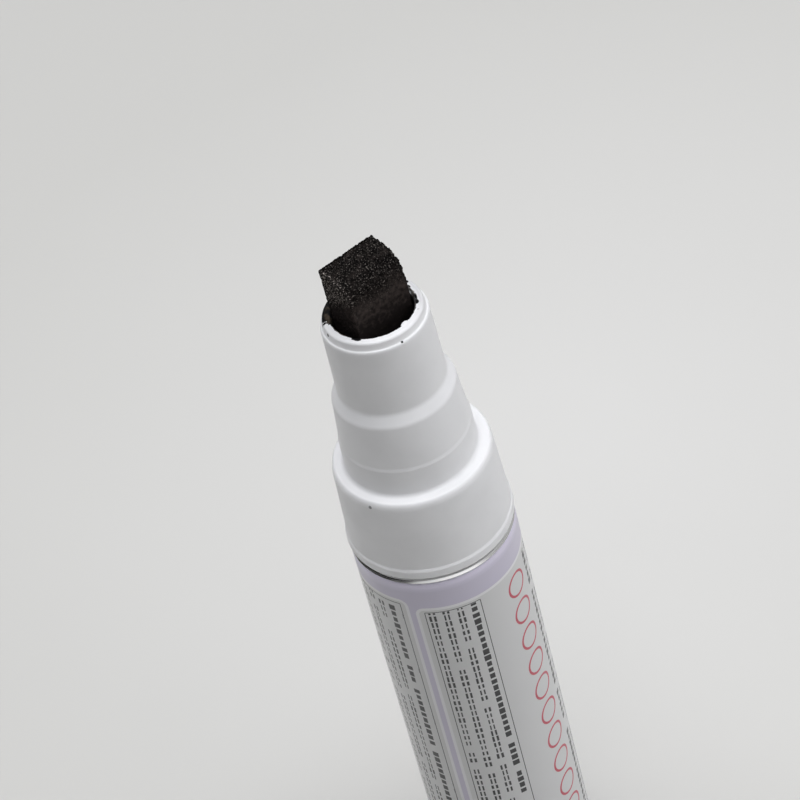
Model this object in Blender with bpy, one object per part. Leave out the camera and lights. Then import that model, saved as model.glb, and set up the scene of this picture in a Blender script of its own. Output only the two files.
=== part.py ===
"""Broad-nib touch-up paint pen: an aluminium can with a moulded nib holder, a felt nib and a spring valve.

Units are metres and +Z runs from the can's base to the nib. The origin is the centre of the base.
The nib is wide along X, and its bevelled face looks along -Y.
"""

import math

import bmesh
import bpy
from mathutils import Vector

# Clearances between pieces
FIT = 0.0003
FILM_FIT = 0.0001
SEAL_FIT = 0.00005

# Aluminium can
CAN_RADIUS = 0.0135
CAN_WALL = 0.0005
CAN_HEIGHT = 0.0900
CAN_FLOOR = 0.0008
CAN_CORNER = 0.0022
DISH_RADIUS = 0.0080
DISH_DEPTH = 0.0009
RIM_ROLL = 0.0011
RIM_PROUD = 0.00035

# Wrapped label film
LABEL_FILM = 0.0002
LABEL_FOOT = 0.0040

# Nib holder, outside, from its collar on the can up to its mouth
COLLAR_OVERHANG = 0.0005
COLLAR_LIP_LEDGE = 0.00038
COLLAR_LIP_HEIGHT = 0.0022
COLLAR_TAPER = 0.00044
COLLAR_HEIGHT = 0.0161
COLLAR_ROUND = 0.0009
NECK_FOOT_TAPER = 0.0002
NECK_STEP = 0.0001
NECK_STEP_HEIGHT = 0.0054
NECK_TAPER = 0.00062
NECK_HEIGHT = 0.0140
SHOULDER_WIDTH = 0.00118
SHOULDER_HEIGHT = 0.0019
NOZZLE_TAPER = 0.0004
NOZZLE_HEIGHT = 0.0128
MOUTH_LEDGE = 0.00045
MOUTH_LIP_WIDTH = 0.00103
MOUTH_LIP_HEIGHT = 0.0017
EDGE_ROUND = 0.0003
ROOT_ROUND = 0.0007

# Nib holder, inside
MOUTH_RADIUS = 0.0070
NIB_CHAMBER_DEPTH = 0.0205
NECK_WALL = 0.00146
SNAP_BEAD = 0.0005
SNAP_BEAD_HEIGHT = 0.0012
COLLAR_ROOF = 0.0020
SKIRT_WALL = 0.0022
SKIRT_LENGTH = 0.0120
SEAL_GROOVE_DEPTH = 0.0010
SEAL_GROOVE_DROP = 0.0060

# Felt nib
NIB_WIDTH = 0.0105
NIB_THICKNESS = 0.0069
NIB_REACH = 0.0095
NIB_RIDGE_INSET = 0.0049
NIB_TOP_DROP = 0.0005
NIB_BEVEL_DROP = 0.0019
NIB_EDGE = 0.0003

# Guide ribs that hold the nib square in its round chamber
RIB_THICKNESS = 0.0012
RIB_LENGTH = 0.0080
RIB_SPREAD = 0.0030
RIB_LIFT = 0.0008
RIB_ROOT = 0.0005

# Spring valve
VALVE_TRAVEL = 0.0018
SEAT_HEIGHT = 0.0060
SEAT_HOLE_RADIUS = 0.0024
SEAT_FUNNEL = 0.0015
SEAT_RIDGE_RADIUS = 0.0033
SEAT_RIDGE_WIDTH = 0.0006
SEAT_RIDGE_HEIGHT = 0.0005
STEM_RADIUS = 0.0014
STEM_HEAD_RADIUS = 0.0055
STEM_HEAD_THICKNESS = 0.0015
STEM_NOTCH_WIDTH = 0.0016
STEM_NOTCH_DEPTH = 0.0022
STEM_DISC_RADIUS = 0.0046
STEM_DISC_THICKNESS = 0.0012
STEM_TAIL_PAST = 0.0020
WASHER_RADIUS = 0.0044
WASHER_THICKNESS = 0.0010
CAGE_RADIUS = 0.0064
CAGE_WALL = 0.0010
CAGE_FLANGE = 0.0015
CAGE_DEPTH = 0.0176
CAGE_FLOOR = 0.0012
WINDOW_WIDTH = 0.0030
WINDOW_HEIGHT = 0.0070
WINDOW_LIFT = 0.0045
SPRING_RADIUS = 0.0034
SPRING_WIRE = 0.0008
SPRING_TURNS = 7

# Agitator balls
BALL_RADIUS = 0.0040

# Facets
SIDES = 48
VALVE_SIDES = 32
STEM_SIDES = 24
BALL_RINGS = 12
SEAL_SIDES = 10
TURN_POINTS = 10
DISH_RINGS = 4
ARC_STEP = math.radians(45)
SMOOTH_ANGLE = math.radians(35)
WELD = 1e-6

# Radii worked out from the sizes above
MOUTH_LIP_RADIUS = MOUTH_RADIUS + MOUTH_LIP_WIDTH
NOZZLE_TOP_RADIUS = MOUTH_LIP_RADIUS + MOUTH_LEDGE
NOZZLE_FOOT_RADIUS = NOZZLE_TOP_RADIUS + NOZZLE_TAPER
NECK_TOP_RADIUS = NOZZLE_FOOT_RADIUS + SHOULDER_WIDTH
NECK_STEP_RADIUS = NECK_TOP_RADIUS + NECK_TAPER
NECK_FOOT_RADIUS = NECK_STEP_RADIUS + NECK_STEP + NECK_FOOT_TAPER
VALVE_BORE_RADIUS = NECK_TOP_RADIUS - NECK_WALL
COLLAR_LIP_RADIUS = CAN_RADIUS + COLLAR_OVERHANG
COLLAR_FOOT_RADIUS = COLLAR_LIP_RADIUS - COLLAR_LIP_LEDGE
COLLAR_TOP_RADIUS = COLLAR_FOOT_RADIUS - COLLAR_TAPER
CAN_BORE_RADIUS = CAN_RADIUS - CAN_WALL
SKIRT_RADIUS = CAN_BORE_RADIUS - FIT
SKIRT_BORE_RADIUS = SKIRT_RADIUS - SKIRT_WALL
SEAL_GROOVE_RADIUS = SKIRT_RADIUS - SEAL_GROOVE_DEPTH
SEAL_RADIUS = (CAN_BORE_RADIUS + SEAL_GROOVE_RADIUS) / 2
SEAL_SECTION = (CAN_BORE_RADIUS - SEAL_GROOVE_RADIUS) / 2 - SEAL_FIT
PLUG_RADIUS = VALVE_BORE_RADIUS - FIT
STEM_GUIDE_RADIUS = STEM_RADIUS + FIT
BALL_ORBIT = CAN_BORE_RADIUS - FIT - BALL_RADIUS

# Heights worked out from the sizes above
LABEL_TOP_Z = CAN_HEIGHT - RIM_ROLL - FILM_FIT
COLLAR_FOOT_Z = CAN_HEIGHT + FIT
COLLAR_TOP_Z = COLLAR_FOOT_Z + COLLAR_HEIGHT
NECK_TOP_Z = COLLAR_TOP_Z + NECK_HEIGHT
NOZZLE_FOOT_Z = NECK_TOP_Z + SHOULDER_HEIGHT
NOZZLE_TOP_Z = NOZZLE_FOOT_Z + NOZZLE_HEIGHT
MOUTH_Z = NOZZLE_TOP_Z + MOUTH_LIP_HEIGHT
SEAL_Z = COLLAR_FOOT_Z - SEAL_GROOVE_DROP
CHAMBER_FLOOR_Z = MOUTH_Z - NIB_CHAMBER_DEPTH
SEAT_TOP_Z = CHAMBER_FLOOR_Z - FIT
SEAT_FOOT_Z = SEAT_TOP_Z - SEAT_HEIGHT
HEAD_FOOT_Z = SEAT_TOP_Z + VALVE_TRAVEL + FIT
HEAD_TOP_Z = HEAD_FOOT_Z + STEM_HEAD_THICKNESS
NIB_FOOT_Z = HEAD_TOP_Z + FIT
NIB_TOP_Z = MOUTH_Z + NIB_REACH
WASHER_TOP_Z = SEAT_FOOT_Z - SEAT_RIDGE_HEIGHT - FIT
WASHER_FOOT_Z = WASHER_TOP_Z - WASHER_THICKNESS
DISC_TOP_Z = WASHER_FOOT_Z - FIT
DISC_FOOT_Z = DISC_TOP_Z - STEM_DISC_THICKNESS
CAGE_TOP_Z = SEAT_FOOT_Z - FIT
CAGE_FOOT_Z = CAGE_TOP_Z - CAGE_DEPTH
CAGE_FLOOR_Z = CAGE_FOOT_Z + CAGE_FLOOR
SNAP_TOP_Z = CAGE_TOP_Z - CAGE_FLANGE - FIT
SPRING_FOOT_Z = CAGE_FLOOR_Z + FIT
SPRING_TOP_Z = DISC_FOOT_Z - FIT


def clear_scene():
    for thing in list(bpy.data.objects):
        bpy.data.objects.remove(thing, do_unlink=True)


def finish(name, colour, roughness, metallic=0.0):
    """A Principled material with the piece's own colour."""
    made = bpy.data.materials.new(name)
    made.use_nodes = True
    shader = made.node_tree.nodes["Principled BSDF"]
    shader.inputs["Base Color"].default_value = (*colour, 1.0)
    shader.inputs["Roughness"].default_value = roughness
    shader.inputs["Metallic"].default_value = metallic
    return made


def carrier(name, height):
    """An empty on the pen's axis, which carries the pieces that move together."""
    made = bpy.data.objects.new(name, None)
    bpy.context.collection.objects.link(made)
    made.location = (0.0, 0.0, height)
    return made


def place(made, parent, origin):
    """Links an object whose mesh is drawn about its own origin, and hangs it on its carrier."""
    bpy.context.collection.objects.link(made)
    made.parent = parent
    made.location = Vector(origin) - parent.location
    return made


def piece(name, bm, material, parent, origin=(0.0, 0.0, 0.0)):
    """Turns a bmesh, drawn in the pen's frame, into a named, smooth-shaded object with its own origin."""
    bmesh.ops.translate(bm, verts=bm.verts, vec=-Vector(origin))
    bmesh.ops.recalc_face_normals(bm, faces=bm.faces)
    mesh = bpy.data.meshes.new(name)
    bm.to_mesh(mesh)
    bm.free()
    mesh.shade_smooth()
    mesh.set_sharp_from_angle(angle=SMOOTH_ANGLE)
    mesh.materials.append(material)
    return place(bpy.data.objects.new(name, mesh), parent, origin)


def shape_with(target, boxes, operation):
    """Joins boxes to a piece, or cuts them out of it. Each box is a pair of opposite corners."""
    bm = bmesh.new()
    for low, high in boxes:
        low, high = Vector(low), Vector(high)
        cube = bmesh.ops.create_cube(bm, size=1.0)["verts"]
        bmesh.ops.scale(bm, verts=cube, vec=high - low)
        bmesh.ops.translate(bm, verts=cube, vec=(low + high) / 2 - target.location - target.parent.location)
    mesh = bpy.data.meshes.new(target.name + "_tool")
    bm.to_mesh(mesh)
    bm.free()
    tool = bpy.data.objects.new(mesh.name, mesh)
    bpy.context.collection.objects.link(tool)
    tool.parent = target
    tool.hide_render = True
    tool.display_type = "WIRE"
    step = target.modifiers.new("Boxes", "BOOLEAN")
    step.operation = operation
    step.object = tool


def rounded(corners):
    """Outline points (radius, height) from corners (radius, height, fillet). A fillet is limited by its walls."""
    points = []
    for i, (radius, height, fillet) in enumerate(corners):
        here = Vector((radius, height))
        back = Vector(corners[i - 1][:2]) - here
        ahead = Vector(corners[(i + 1) % len(corners)][:2]) - here
        half = back.angle(ahead) / 2
        run = min(fillet / math.tan(half), 0.45 * back.length, 0.45 * ahead.length)
        if run < WELD:
            points.append(here)
            continue
        bend = run * math.tan(half)
        centre = here + (back.normalized() + ahead.normalized()).normalized() * (bend / math.sin(half))
        start = here + back.normalized() * run - centre
        end = here + ahead.normalized() * run - centre
        clockwise = start.angle_signed(end)
        steps = max(1, round(abs(clockwise) / ARC_STEP))
        for k in range(steps + 1):
            angle = math.atan2(start.y, start.x) - clockwise * k / steps
            points.append(centre + Vector((math.cos(angle), math.sin(angle))) * bend)
    return points


def turned(outline, sides):
    """A closed outline of (radius, height) points spun round the pen's axis. Points on the axis become poles."""
    bm = bmesh.new()
    ring = [bm.verts.new((radius, 0.0, height)) for radius, height in outline]
    edges = []
    for first, second in zip(ring, ring[1:] + ring[:1]):
        if max(first.co.x, second.co.x) > WELD:
            edges.append(bm.edges.new((first, second)))
    bmesh.ops.spin(
        bm, geom=ring + edges, cent=(0, 0, 0), axis=(0, 0, 1), dvec=(0, 0, 0),
        angle=math.tau, steps=sides, use_merge=True, use_duplicate=False,
    )
    bmesh.ops.remove_doubles(bm, verts=bm.verts, dist=WELD)
    return bm


def dish_height(radius):
    """How far the can's floor is pushed up at a radius."""
    return DISH_DEPTH * max(0.0, 1 - (radius / DISH_RADIUS) ** 2)


def build_can(parent, material):
    dish = [DISH_RADIUS * k / DISH_RINGS for k in range(DISH_RINGS + 1)]
    under = [(r, dish_height(r), 0.0) for r in dish]
    floor = [(r, CAN_FLOOR + dish_height(r), 0.0) for r in reversed(dish)]
    rim_radius = CAN_RADIUS + RIM_PROUD
    walls = [
        (CAN_RADIUS, 0.0, CAN_CORNER),
        (CAN_RADIUS, CAN_HEIGHT - RIM_ROLL, 0.0),
        (rim_radius, CAN_HEIGHT - RIM_ROLL, RIM_ROLL / 2),
        (rim_radius, CAN_HEIGHT, RIM_ROLL / 2),
        (CAN_BORE_RADIUS, CAN_HEIGHT, EDGE_ROUND),
        (CAN_BORE_RADIUS, CAN_FLOOR, CAN_CORNER - CAN_WALL),
    ]
    piece("barrel", turned(rounded(under + walls + floor), SIDES), material, parent)


def build_label(parent, material):
    inside = CAN_RADIUS + FILM_FIT
    outside = inside + LABEL_FILM
    outline = [(outside, LABEL_TOP_Z), (outside, LABEL_FOOT), (inside, LABEL_FOOT), (inside, LABEL_TOP_Z)]
    piece("label", turned(outline, SIDES), material, parent)


def build_nib_holder(parent, material):
    step_z = COLLAR_TOP_Z + NECK_STEP_HEIGHT
    lip_z = COLLAR_FOOT_Z + COLLAR_LIP_HEIGHT
    skirt_end_z = COLLAR_FOOT_Z - SKIRT_LENGTH
    roof_z = COLLAR_TOP_Z - COLLAR_ROOF
    groove_half = SEAL_SECTION + FIT
    outside = [
        (MOUTH_RADIUS, MOUTH_Z, EDGE_ROUND),
        (MOUTH_LIP_RADIUS, MOUTH_Z, EDGE_ROUND),
        (MOUTH_LIP_RADIUS, NOZZLE_TOP_Z, 0.0),
        (NOZZLE_TOP_RADIUS, NOZZLE_TOP_Z, EDGE_ROUND),
        (NOZZLE_FOOT_RADIUS, NOZZLE_FOOT_Z, ROOT_ROUND),
        (NECK_TOP_RADIUS, NECK_TOP_Z, EDGE_ROUND),
        (NECK_STEP_RADIUS, step_z, 0.0),
        (NECK_STEP_RADIUS + NECK_STEP, step_z - NECK_STEP, 0.0),
        (NECK_FOOT_RADIUS, COLLAR_TOP_Z, ROOT_ROUND),
        (COLLAR_TOP_RADIUS, COLLAR_TOP_Z, COLLAR_ROUND),
        (COLLAR_FOOT_RADIUS, lip_z, 0.0),
        (COLLAR_LIP_RADIUS, lip_z, EDGE_ROUND),
        (COLLAR_LIP_RADIUS, COLLAR_FOOT_Z, EDGE_ROUND),
    ]
    skirt = [
        (SKIRT_RADIUS, COLLAR_FOOT_Z, 0.0),
        (SKIRT_RADIUS, SEAL_Z + groove_half, 0.0),
        (SEAL_GROOVE_RADIUS, SEAL_Z + groove_half, 0.0),
        (SEAL_GROOVE_RADIUS, SEAL_Z - groove_half, 0.0),
        (SKIRT_RADIUS, SEAL_Z - groove_half, 0.0),
        (SKIRT_RADIUS, skirt_end_z, EDGE_ROUND),
        (SKIRT_BORE_RADIUS, skirt_end_z, EDGE_ROUND),
        (SKIRT_BORE_RADIUS, roof_z, ROOT_ROUND),
    ]
    bore = [
        (VALVE_BORE_RADIUS, roof_z, EDGE_ROUND),
        (VALVE_BORE_RADIUS, SNAP_TOP_Z - SNAP_BEAD_HEIGHT, 0.0),
        (VALVE_BORE_RADIUS - SNAP_BEAD, SNAP_TOP_Z, 0.0),
        (VALVE_BORE_RADIUS, SNAP_TOP_Z, 0.0),
        (VALVE_BORE_RADIUS, CHAMBER_FLOOR_Z, 0.0),
        (MOUTH_RADIUS, CHAMBER_FLOOR_Z, 0.0),
    ]
    holder = piece("nib_holder", turned(rounded(outside + skirt + bore), SIDES), material, parent)
    shape_with(holder, nib_guide_ribs(), "UNION")


def nib_guide_ribs():
    """Two ribs against each broad face of the nib and one against each narrow face."""
    half = RIB_THICKNESS / 2
    foot = NIB_FOOT_Z + RIB_LIFT
    top = foot + RIB_LENGTH
    broad_gap = NIB_THICKNESS / 2 + FIT
    broad_root = math.sqrt(MOUTH_RADIUS ** 2 - RIB_SPREAD ** 2) + RIB_ROOT
    narrow_gap = NIB_WIDTH / 2 + FIT
    narrow_root = MOUTH_RADIUS + RIB_ROOT
    ribs = []
    for side in (-1, 1):
        near, far = sorted((side * narrow_gap, side * narrow_root))
        ribs.append(((near, -half, foot), (far, half, top)))
        near, far = sorted((side * broad_gap, side * broad_root))
        for x in (-RIB_SPREAD, RIB_SPREAD):
            ribs.append(((x - half, near, foot), (x + half, far, top)))
    return ribs


def build_barrel_seal(parent, material):
    section = []
    for k in range(SEAL_SIDES):
        angle = math.tau * k / SEAL_SIDES
        section.append((SEAL_RADIUS + SEAL_SECTION * math.cos(angle), SEAL_Z + SEAL_SECTION * math.sin(angle)))
    piece("barrel_seal", turned(section, SIDES), material, parent)


def build_nib(parent, material):
    """A felt block with a nearly flat end and one bevelled broad edge."""
    back = NIB_THICKNESS / 2
    front = -back
    ridge_z = NIB_TOP_Z - NIB_TOP_DROP
    side_view = [
        (back, NIB_FOOT_Z),
        (back, NIB_TOP_Z),
        (back - NIB_RIDGE_INSET, ridge_z),
        (front, ridge_z - NIB_BEVEL_DROP),
        (front, NIB_FOOT_Z),
    ]
    bm = bmesh.new()
    end = bm.faces.new([bm.verts.new((-NIB_WIDTH / 2, y, z)) for y, z in side_view])
    pulled = bmesh.ops.extrude_face_region(bm, geom=[end], use_keep_orig=True)["geom"]
    moved = [item for item in pulled if isinstance(item, bmesh.types.BMVert)]
    bmesh.ops.translate(bm, verts=moved, vec=(NIB_WIDTH, 0.0, 0.0))
    bmesh.ops.recalc_face_normals(bm, faces=bm.faces)
    bmesh.ops.bevel(bm, geom=bm.edges[:], offset=NIB_EDGE, segments=2, profile=0.5, affect="EDGES")
    piece("nib", bm, material, parent, origin=(0.0, 0.0, NIB_FOOT_Z))


def build_valve_seat(parent, material):
    ridge_in = SEAT_RIDGE_RADIUS - SEAT_RIDGE_WIDTH / 2
    ridge_out = SEAT_RIDGE_RADIUS + SEAT_RIDGE_WIDTH / 2
    ridge_z = SEAT_FOOT_Z - SEAT_RIDGE_HEIGHT
    outline = [
        (SEAT_HOLE_RADIUS, SEAT_TOP_Z - SEAT_FUNNEL, 0.0),
        (SEAT_HOLE_RADIUS + SEAT_FUNNEL, SEAT_TOP_Z, 0.0),
        (PLUG_RADIUS, SEAT_TOP_Z, EDGE_ROUND),
        (PLUG_RADIUS, SEAT_FOOT_Z, EDGE_ROUND),
        (ridge_out, SEAT_FOOT_Z, 0.0),
        (ridge_out, ridge_z, 0.0),
        (ridge_in, ridge_z, 0.0),
        (ridge_in, SEAT_FOOT_Z, 0.0),
        (SEAT_HOLE_RADIUS, SEAT_FOOT_Z, 0.0),
    ]
    piece("valve_seat", turned(rounded(outline), VALVE_SIDES), material, parent)


def build_valve_stem(parent, material):
    """Head under the nib, rod through the seat, disc that carries the washer, and a tail in the cage's guide."""
    tail_z = CAGE_FOOT_Z - STEM_TAIL_PAST
    outline = [
        (0.0, HEAD_TOP_Z, 0.0),
        (STEM_HEAD_RADIUS, HEAD_TOP_Z, EDGE_ROUND),
        (STEM_HEAD_RADIUS, HEAD_FOOT_Z, EDGE_ROUND),
        (STEM_RADIUS, HEAD_FOOT_Z, 0.0),
        (STEM_RADIUS, DISC_TOP_Z, 0.0),
        (STEM_DISC_RADIUS, DISC_TOP_Z, 0.0),
        (STEM_DISC_RADIUS, DISC_FOOT_Z, EDGE_ROUND),
        (STEM_RADIUS, DISC_FOOT_Z, 0.0),
        (STEM_RADIUS, tail_z, EDGE_ROUND),
        (0.0, tail_z, 0.0),
    ]
    stem = piece("valve_stem", turned(rounded(outline), STEM_SIDES), material, parent, (0.0, 0.0, DISC_TOP_Z))
    half = STEM_NOTCH_WIDTH / 2
    inner = STEM_HEAD_RADIUS - STEM_NOTCH_DEPTH
    outer = STEM_HEAD_RADIUS + FIT
    notches = []
    for near, far in ((inner, outer), (-outer, -inner)):
        notches.append(((near, -half, HEAD_FOOT_Z - FIT), (far, half, HEAD_TOP_Z + FIT)))
        notches.append(((-half, near, HEAD_FOOT_Z - FIT), (half, far, HEAD_TOP_Z + FIT)))
    shape_with(stem, notches, "DIFFERENCE")


def build_washer(parent, material):
    outline = [
        (STEM_GUIDE_RADIUS, WASHER_TOP_Z),
        (WASHER_RADIUS, WASHER_TOP_Z),
        (WASHER_RADIUS, WASHER_FOOT_Z),
        (STEM_GUIDE_RADIUS, WASHER_FOOT_Z),
    ]
    piece("seat_washer", turned(outline, VALVE_SIDES), material, parent, (0.0, 0.0, WASHER_FOOT_Z))


def build_valve_cage(parent, material):
    """A flanged cup that holds the spring, with windows that let paint in and a guide hole for the stem."""
    inside = CAGE_RADIUS - CAGE_WALL
    flange_z = CAGE_TOP_Z - CAGE_FLANGE
    outline = [
        (inside, CAGE_TOP_Z, 0.0),
        (PLUG_RADIUS, CAGE_TOP_Z, EDGE_ROUND),
        (PLUG_RADIUS, flange_z, EDGE_ROUND),
        (CAGE_RADIUS, flange_z, EDGE_ROUND),
        (CAGE_RADIUS, CAGE_FOOT_Z, EDGE_ROUND),
        (STEM_GUIDE_RADIUS, CAGE_FOOT_Z, 0.0),
        (STEM_GUIDE_RADIUS, CAGE_FLOOR_Z, 0.0),
        (inside, CAGE_FLOOR_Z, 0.0),
    ]
    cage = piece("valve_cage", turned(rounded(outline), VALVE_SIDES), material, parent)
    half = WINDOW_WIDTH / 2
    low = CAGE_FOOT_Z + WINDOW_LIFT
    high = low + WINDOW_HEIGHT
    reach = CAGE_RADIUS + FIT
    past = math.sqrt(inside ** 2 - half ** 2) - FIT
    windows = []
    for near, far in ((past, reach), (-reach, -past)):
        windows.append(((near, -half, low), (far, half, high)))
        windows.append(((-half, near, low), (half, far, high)))
    shape_with(cage, windows, "DIFFERENCE")


def build_spring(parent, material):
    """An open coil spring between the cage's floor and the stem's disc, as one tube."""
    foot = SPRING_FOOT_Z + SPRING_WIRE / 2
    rise = SPRING_TOP_Z - SPRING_WIRE / 2 - foot
    count = SPRING_TURNS * TURN_POINTS
    points = []
    for k in range(count + 1):
        angle = math.tau * k / TURN_POINTS
        x, y = SPRING_RADIUS * math.cos(angle), SPRING_RADIUS * math.sin(angle)
        points.append(Vector((x, y, rise * k / count)))
    curve = bpy.data.curves.new("valve_spring", "CURVE")
    curve.dimensions = "3D"
    curve.bevel_depth = SPRING_WIRE / 2
    curve.bevel_resolution = 1
    curve.use_fill_caps = True
    spline = curve.splines.new("POLY")
    spline.points.add(count)
    for point, spot in zip(spline.points, points):
        point.co = (*spot, 1.0)
    curve.materials.append(material)
    place(bpy.data.objects.new("valve_spring", curve), parent, (0.0, 0.0, foot))
    gaps = []
    for k in range(count + 1 - TURN_POINTS // 2):
        gaps += [(points[k] - other).length - SPRING_WIRE for other in points[k + TURN_POINTS // 2:]]
    print(f"valve_spring least gap to itself: {min(gaps) * 1000:.2f} mm")


def build_agitator_balls(material):
    """Two steel balls on the can's floor, each standing clear of the floor and of the wall."""
    reach = [BALL_RADIUS * k / SIDES for k in range(-SIDES, SIDES + 1)]
    lift = max(dish_height(BALL_ORBIT + r) + math.sqrt(BALL_RADIUS ** 2 - r ** 2) for r in reach)
    rest_z = CAN_FLOOR + FIT + lift
    for number, side in ((1, -1), (2, 1)):
        origin = (side * BALL_ORBIT, 0.0, rest_z)
        bm = bmesh.new()
        bmesh.ops.create_uvsphere(bm, u_segments=STEM_SIDES, v_segments=BALL_RINGS, radius=BALL_RADIUS)
        bmesh.ops.translate(bm, verts=bm.verts, vec=origin)
        shaker = carrier(f"ball_{number}_path", rest_z)
        piece(f"agitator_ball_{number}", bm, material, shaker, origin)


def build_pen():
    aluminium = finish("drawn_aluminium", (0.78, 0.79, 0.80), 0.28, 1.0)
    film = finish("label_film", (0.46, 0.44, 0.52), 0.35)
    white_plastic = finish("white_polypropylene", (0.80, 0.80, 0.79), 0.38)
    felt = finish("painted_felt", (0.012, 0.012, 0.013), 0.75)
    valve_plastic = finish("natural_polyethylene", (0.72, 0.72, 0.68), 0.45)
    rubber = finish("nitrile_rubber", (0.020, 0.020, 0.020), 0.60)
    steel = finish("spring_steel", (0.55, 0.55, 0.56), 0.30, 1.0)

    body = carrier("pen_body", 0.0)
    build_can(body, aluminium)
    build_label(body, film)
    build_nib_holder(body, white_plastic)
    build_barrel_seal(body, rubber)
    build_valve_seat(body, valve_plastic)
    build_valve_cage(body, valve_plastic)
    build_spring(body, steel)

    plunger = carrier("nib_slide", NIB_FOOT_Z)
    build_nib(plunger, felt)
    build_valve_stem(plunger, valve_plastic)
    build_washer(plunger, rubber)

    build_agitator_balls(steel)


clear_scene()
build_pen()
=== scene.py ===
"""Looks of a broad-nib touch-up paint pen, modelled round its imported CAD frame.

Units are metres. +Z runs from the can's base to the nib, and the nib is wide along X.
"""

import math
from collections import namedtuple
from functools import partial

import bpy
from bpy.props import FloatProperty, FloatVectorProperty, PointerProperty
from mathutils import Matrix, Vector


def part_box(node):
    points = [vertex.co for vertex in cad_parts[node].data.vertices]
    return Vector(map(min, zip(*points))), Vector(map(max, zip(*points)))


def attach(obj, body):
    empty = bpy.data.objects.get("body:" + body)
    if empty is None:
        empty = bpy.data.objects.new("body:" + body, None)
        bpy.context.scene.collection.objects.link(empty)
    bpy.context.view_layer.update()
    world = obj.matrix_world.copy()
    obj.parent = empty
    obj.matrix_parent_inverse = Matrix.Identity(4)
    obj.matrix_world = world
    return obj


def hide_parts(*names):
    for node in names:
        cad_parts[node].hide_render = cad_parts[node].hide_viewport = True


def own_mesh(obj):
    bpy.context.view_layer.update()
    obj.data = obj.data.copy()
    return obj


bl_info = {
    "name": "Paint pen",
    "version": (1, 0, 0),
    "blender": (4, 5, 0),
    "location": "3D View > Sidebar > Paint pen",
    "description": "Models and finishes the pieces of a touch-up paint pen on its CAD frame",
    "category": "Add Mesh",
}

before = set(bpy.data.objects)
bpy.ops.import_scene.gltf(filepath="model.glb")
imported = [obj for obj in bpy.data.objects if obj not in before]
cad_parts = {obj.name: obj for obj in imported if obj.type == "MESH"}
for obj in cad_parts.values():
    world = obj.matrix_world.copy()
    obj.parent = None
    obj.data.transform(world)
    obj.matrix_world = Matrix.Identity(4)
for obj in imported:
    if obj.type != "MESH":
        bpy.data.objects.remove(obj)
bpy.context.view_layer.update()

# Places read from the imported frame
MOUTH_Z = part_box("nib_holder")[1].z
SKIRT_END_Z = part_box("nib_holder")[0].z
CAN_TOP_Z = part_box("barrel")[1].z
RIM_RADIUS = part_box("barrel")[1].x
LABEL_LOW, LABEL_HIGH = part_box("label")
NIB_LOW, NIB_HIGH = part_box("nib")
SEAT_LOW, SEAT_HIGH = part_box("valve_seat")
SEAL_LOW, SEAL_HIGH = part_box("barrel_seal")
SPRING_LOW, SPRING_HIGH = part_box("valve_spring")

# Facets, the largest share of a side that a fillet takes, and tolerances in metres
SIDES = 160
ARC_STEP = math.radians(12)
SMOOTH_ANGLE = math.radians(38)
FILLET_SHARE = 0.45
WELD = 1e-6
MATCH = 0.0005

# Millimetres in a metre
MM = 1000.0

# The picture's width in pixels, and the camera sensor's in millimetres
PICTURE = 800
SENSOR = 36.0


def linear(code):
    """An sRGB hex colour as linear RGBA."""
    parts = [int(code[k:k + 2], 16) / 255 for k in (0, 2, 4)]
    return (*[c / 12.92 if c <= 0.04045 else ((c + 0.055) / 1.055) ** 2.4 for c in parts], 1.0)


def length(name, description, default):
    """A length in metres."""
    return FloatProperty(name=name, description=description, default=default, unit="LENGTH", precision=5)


def turn(name, description, degrees):
    """An angle, given in degrees."""
    return FloatProperty(name=name, description=description, default=math.radians(degrees), unit="ROTATION")


def amount(name, description, default, subtype="NONE"):
    """A strength, a power or a place in the picture."""
    return FloatProperty(name=name, description=description, default=default, subtype=subtype)


def tint(name, description, code):
    """A colour, given as an sRGB hex code."""
    return FloatVectorProperty(
        name=name, description=description, default=linear(code), size=4, min=0.0, max=1.0, subtype="COLOR",
    )


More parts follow.
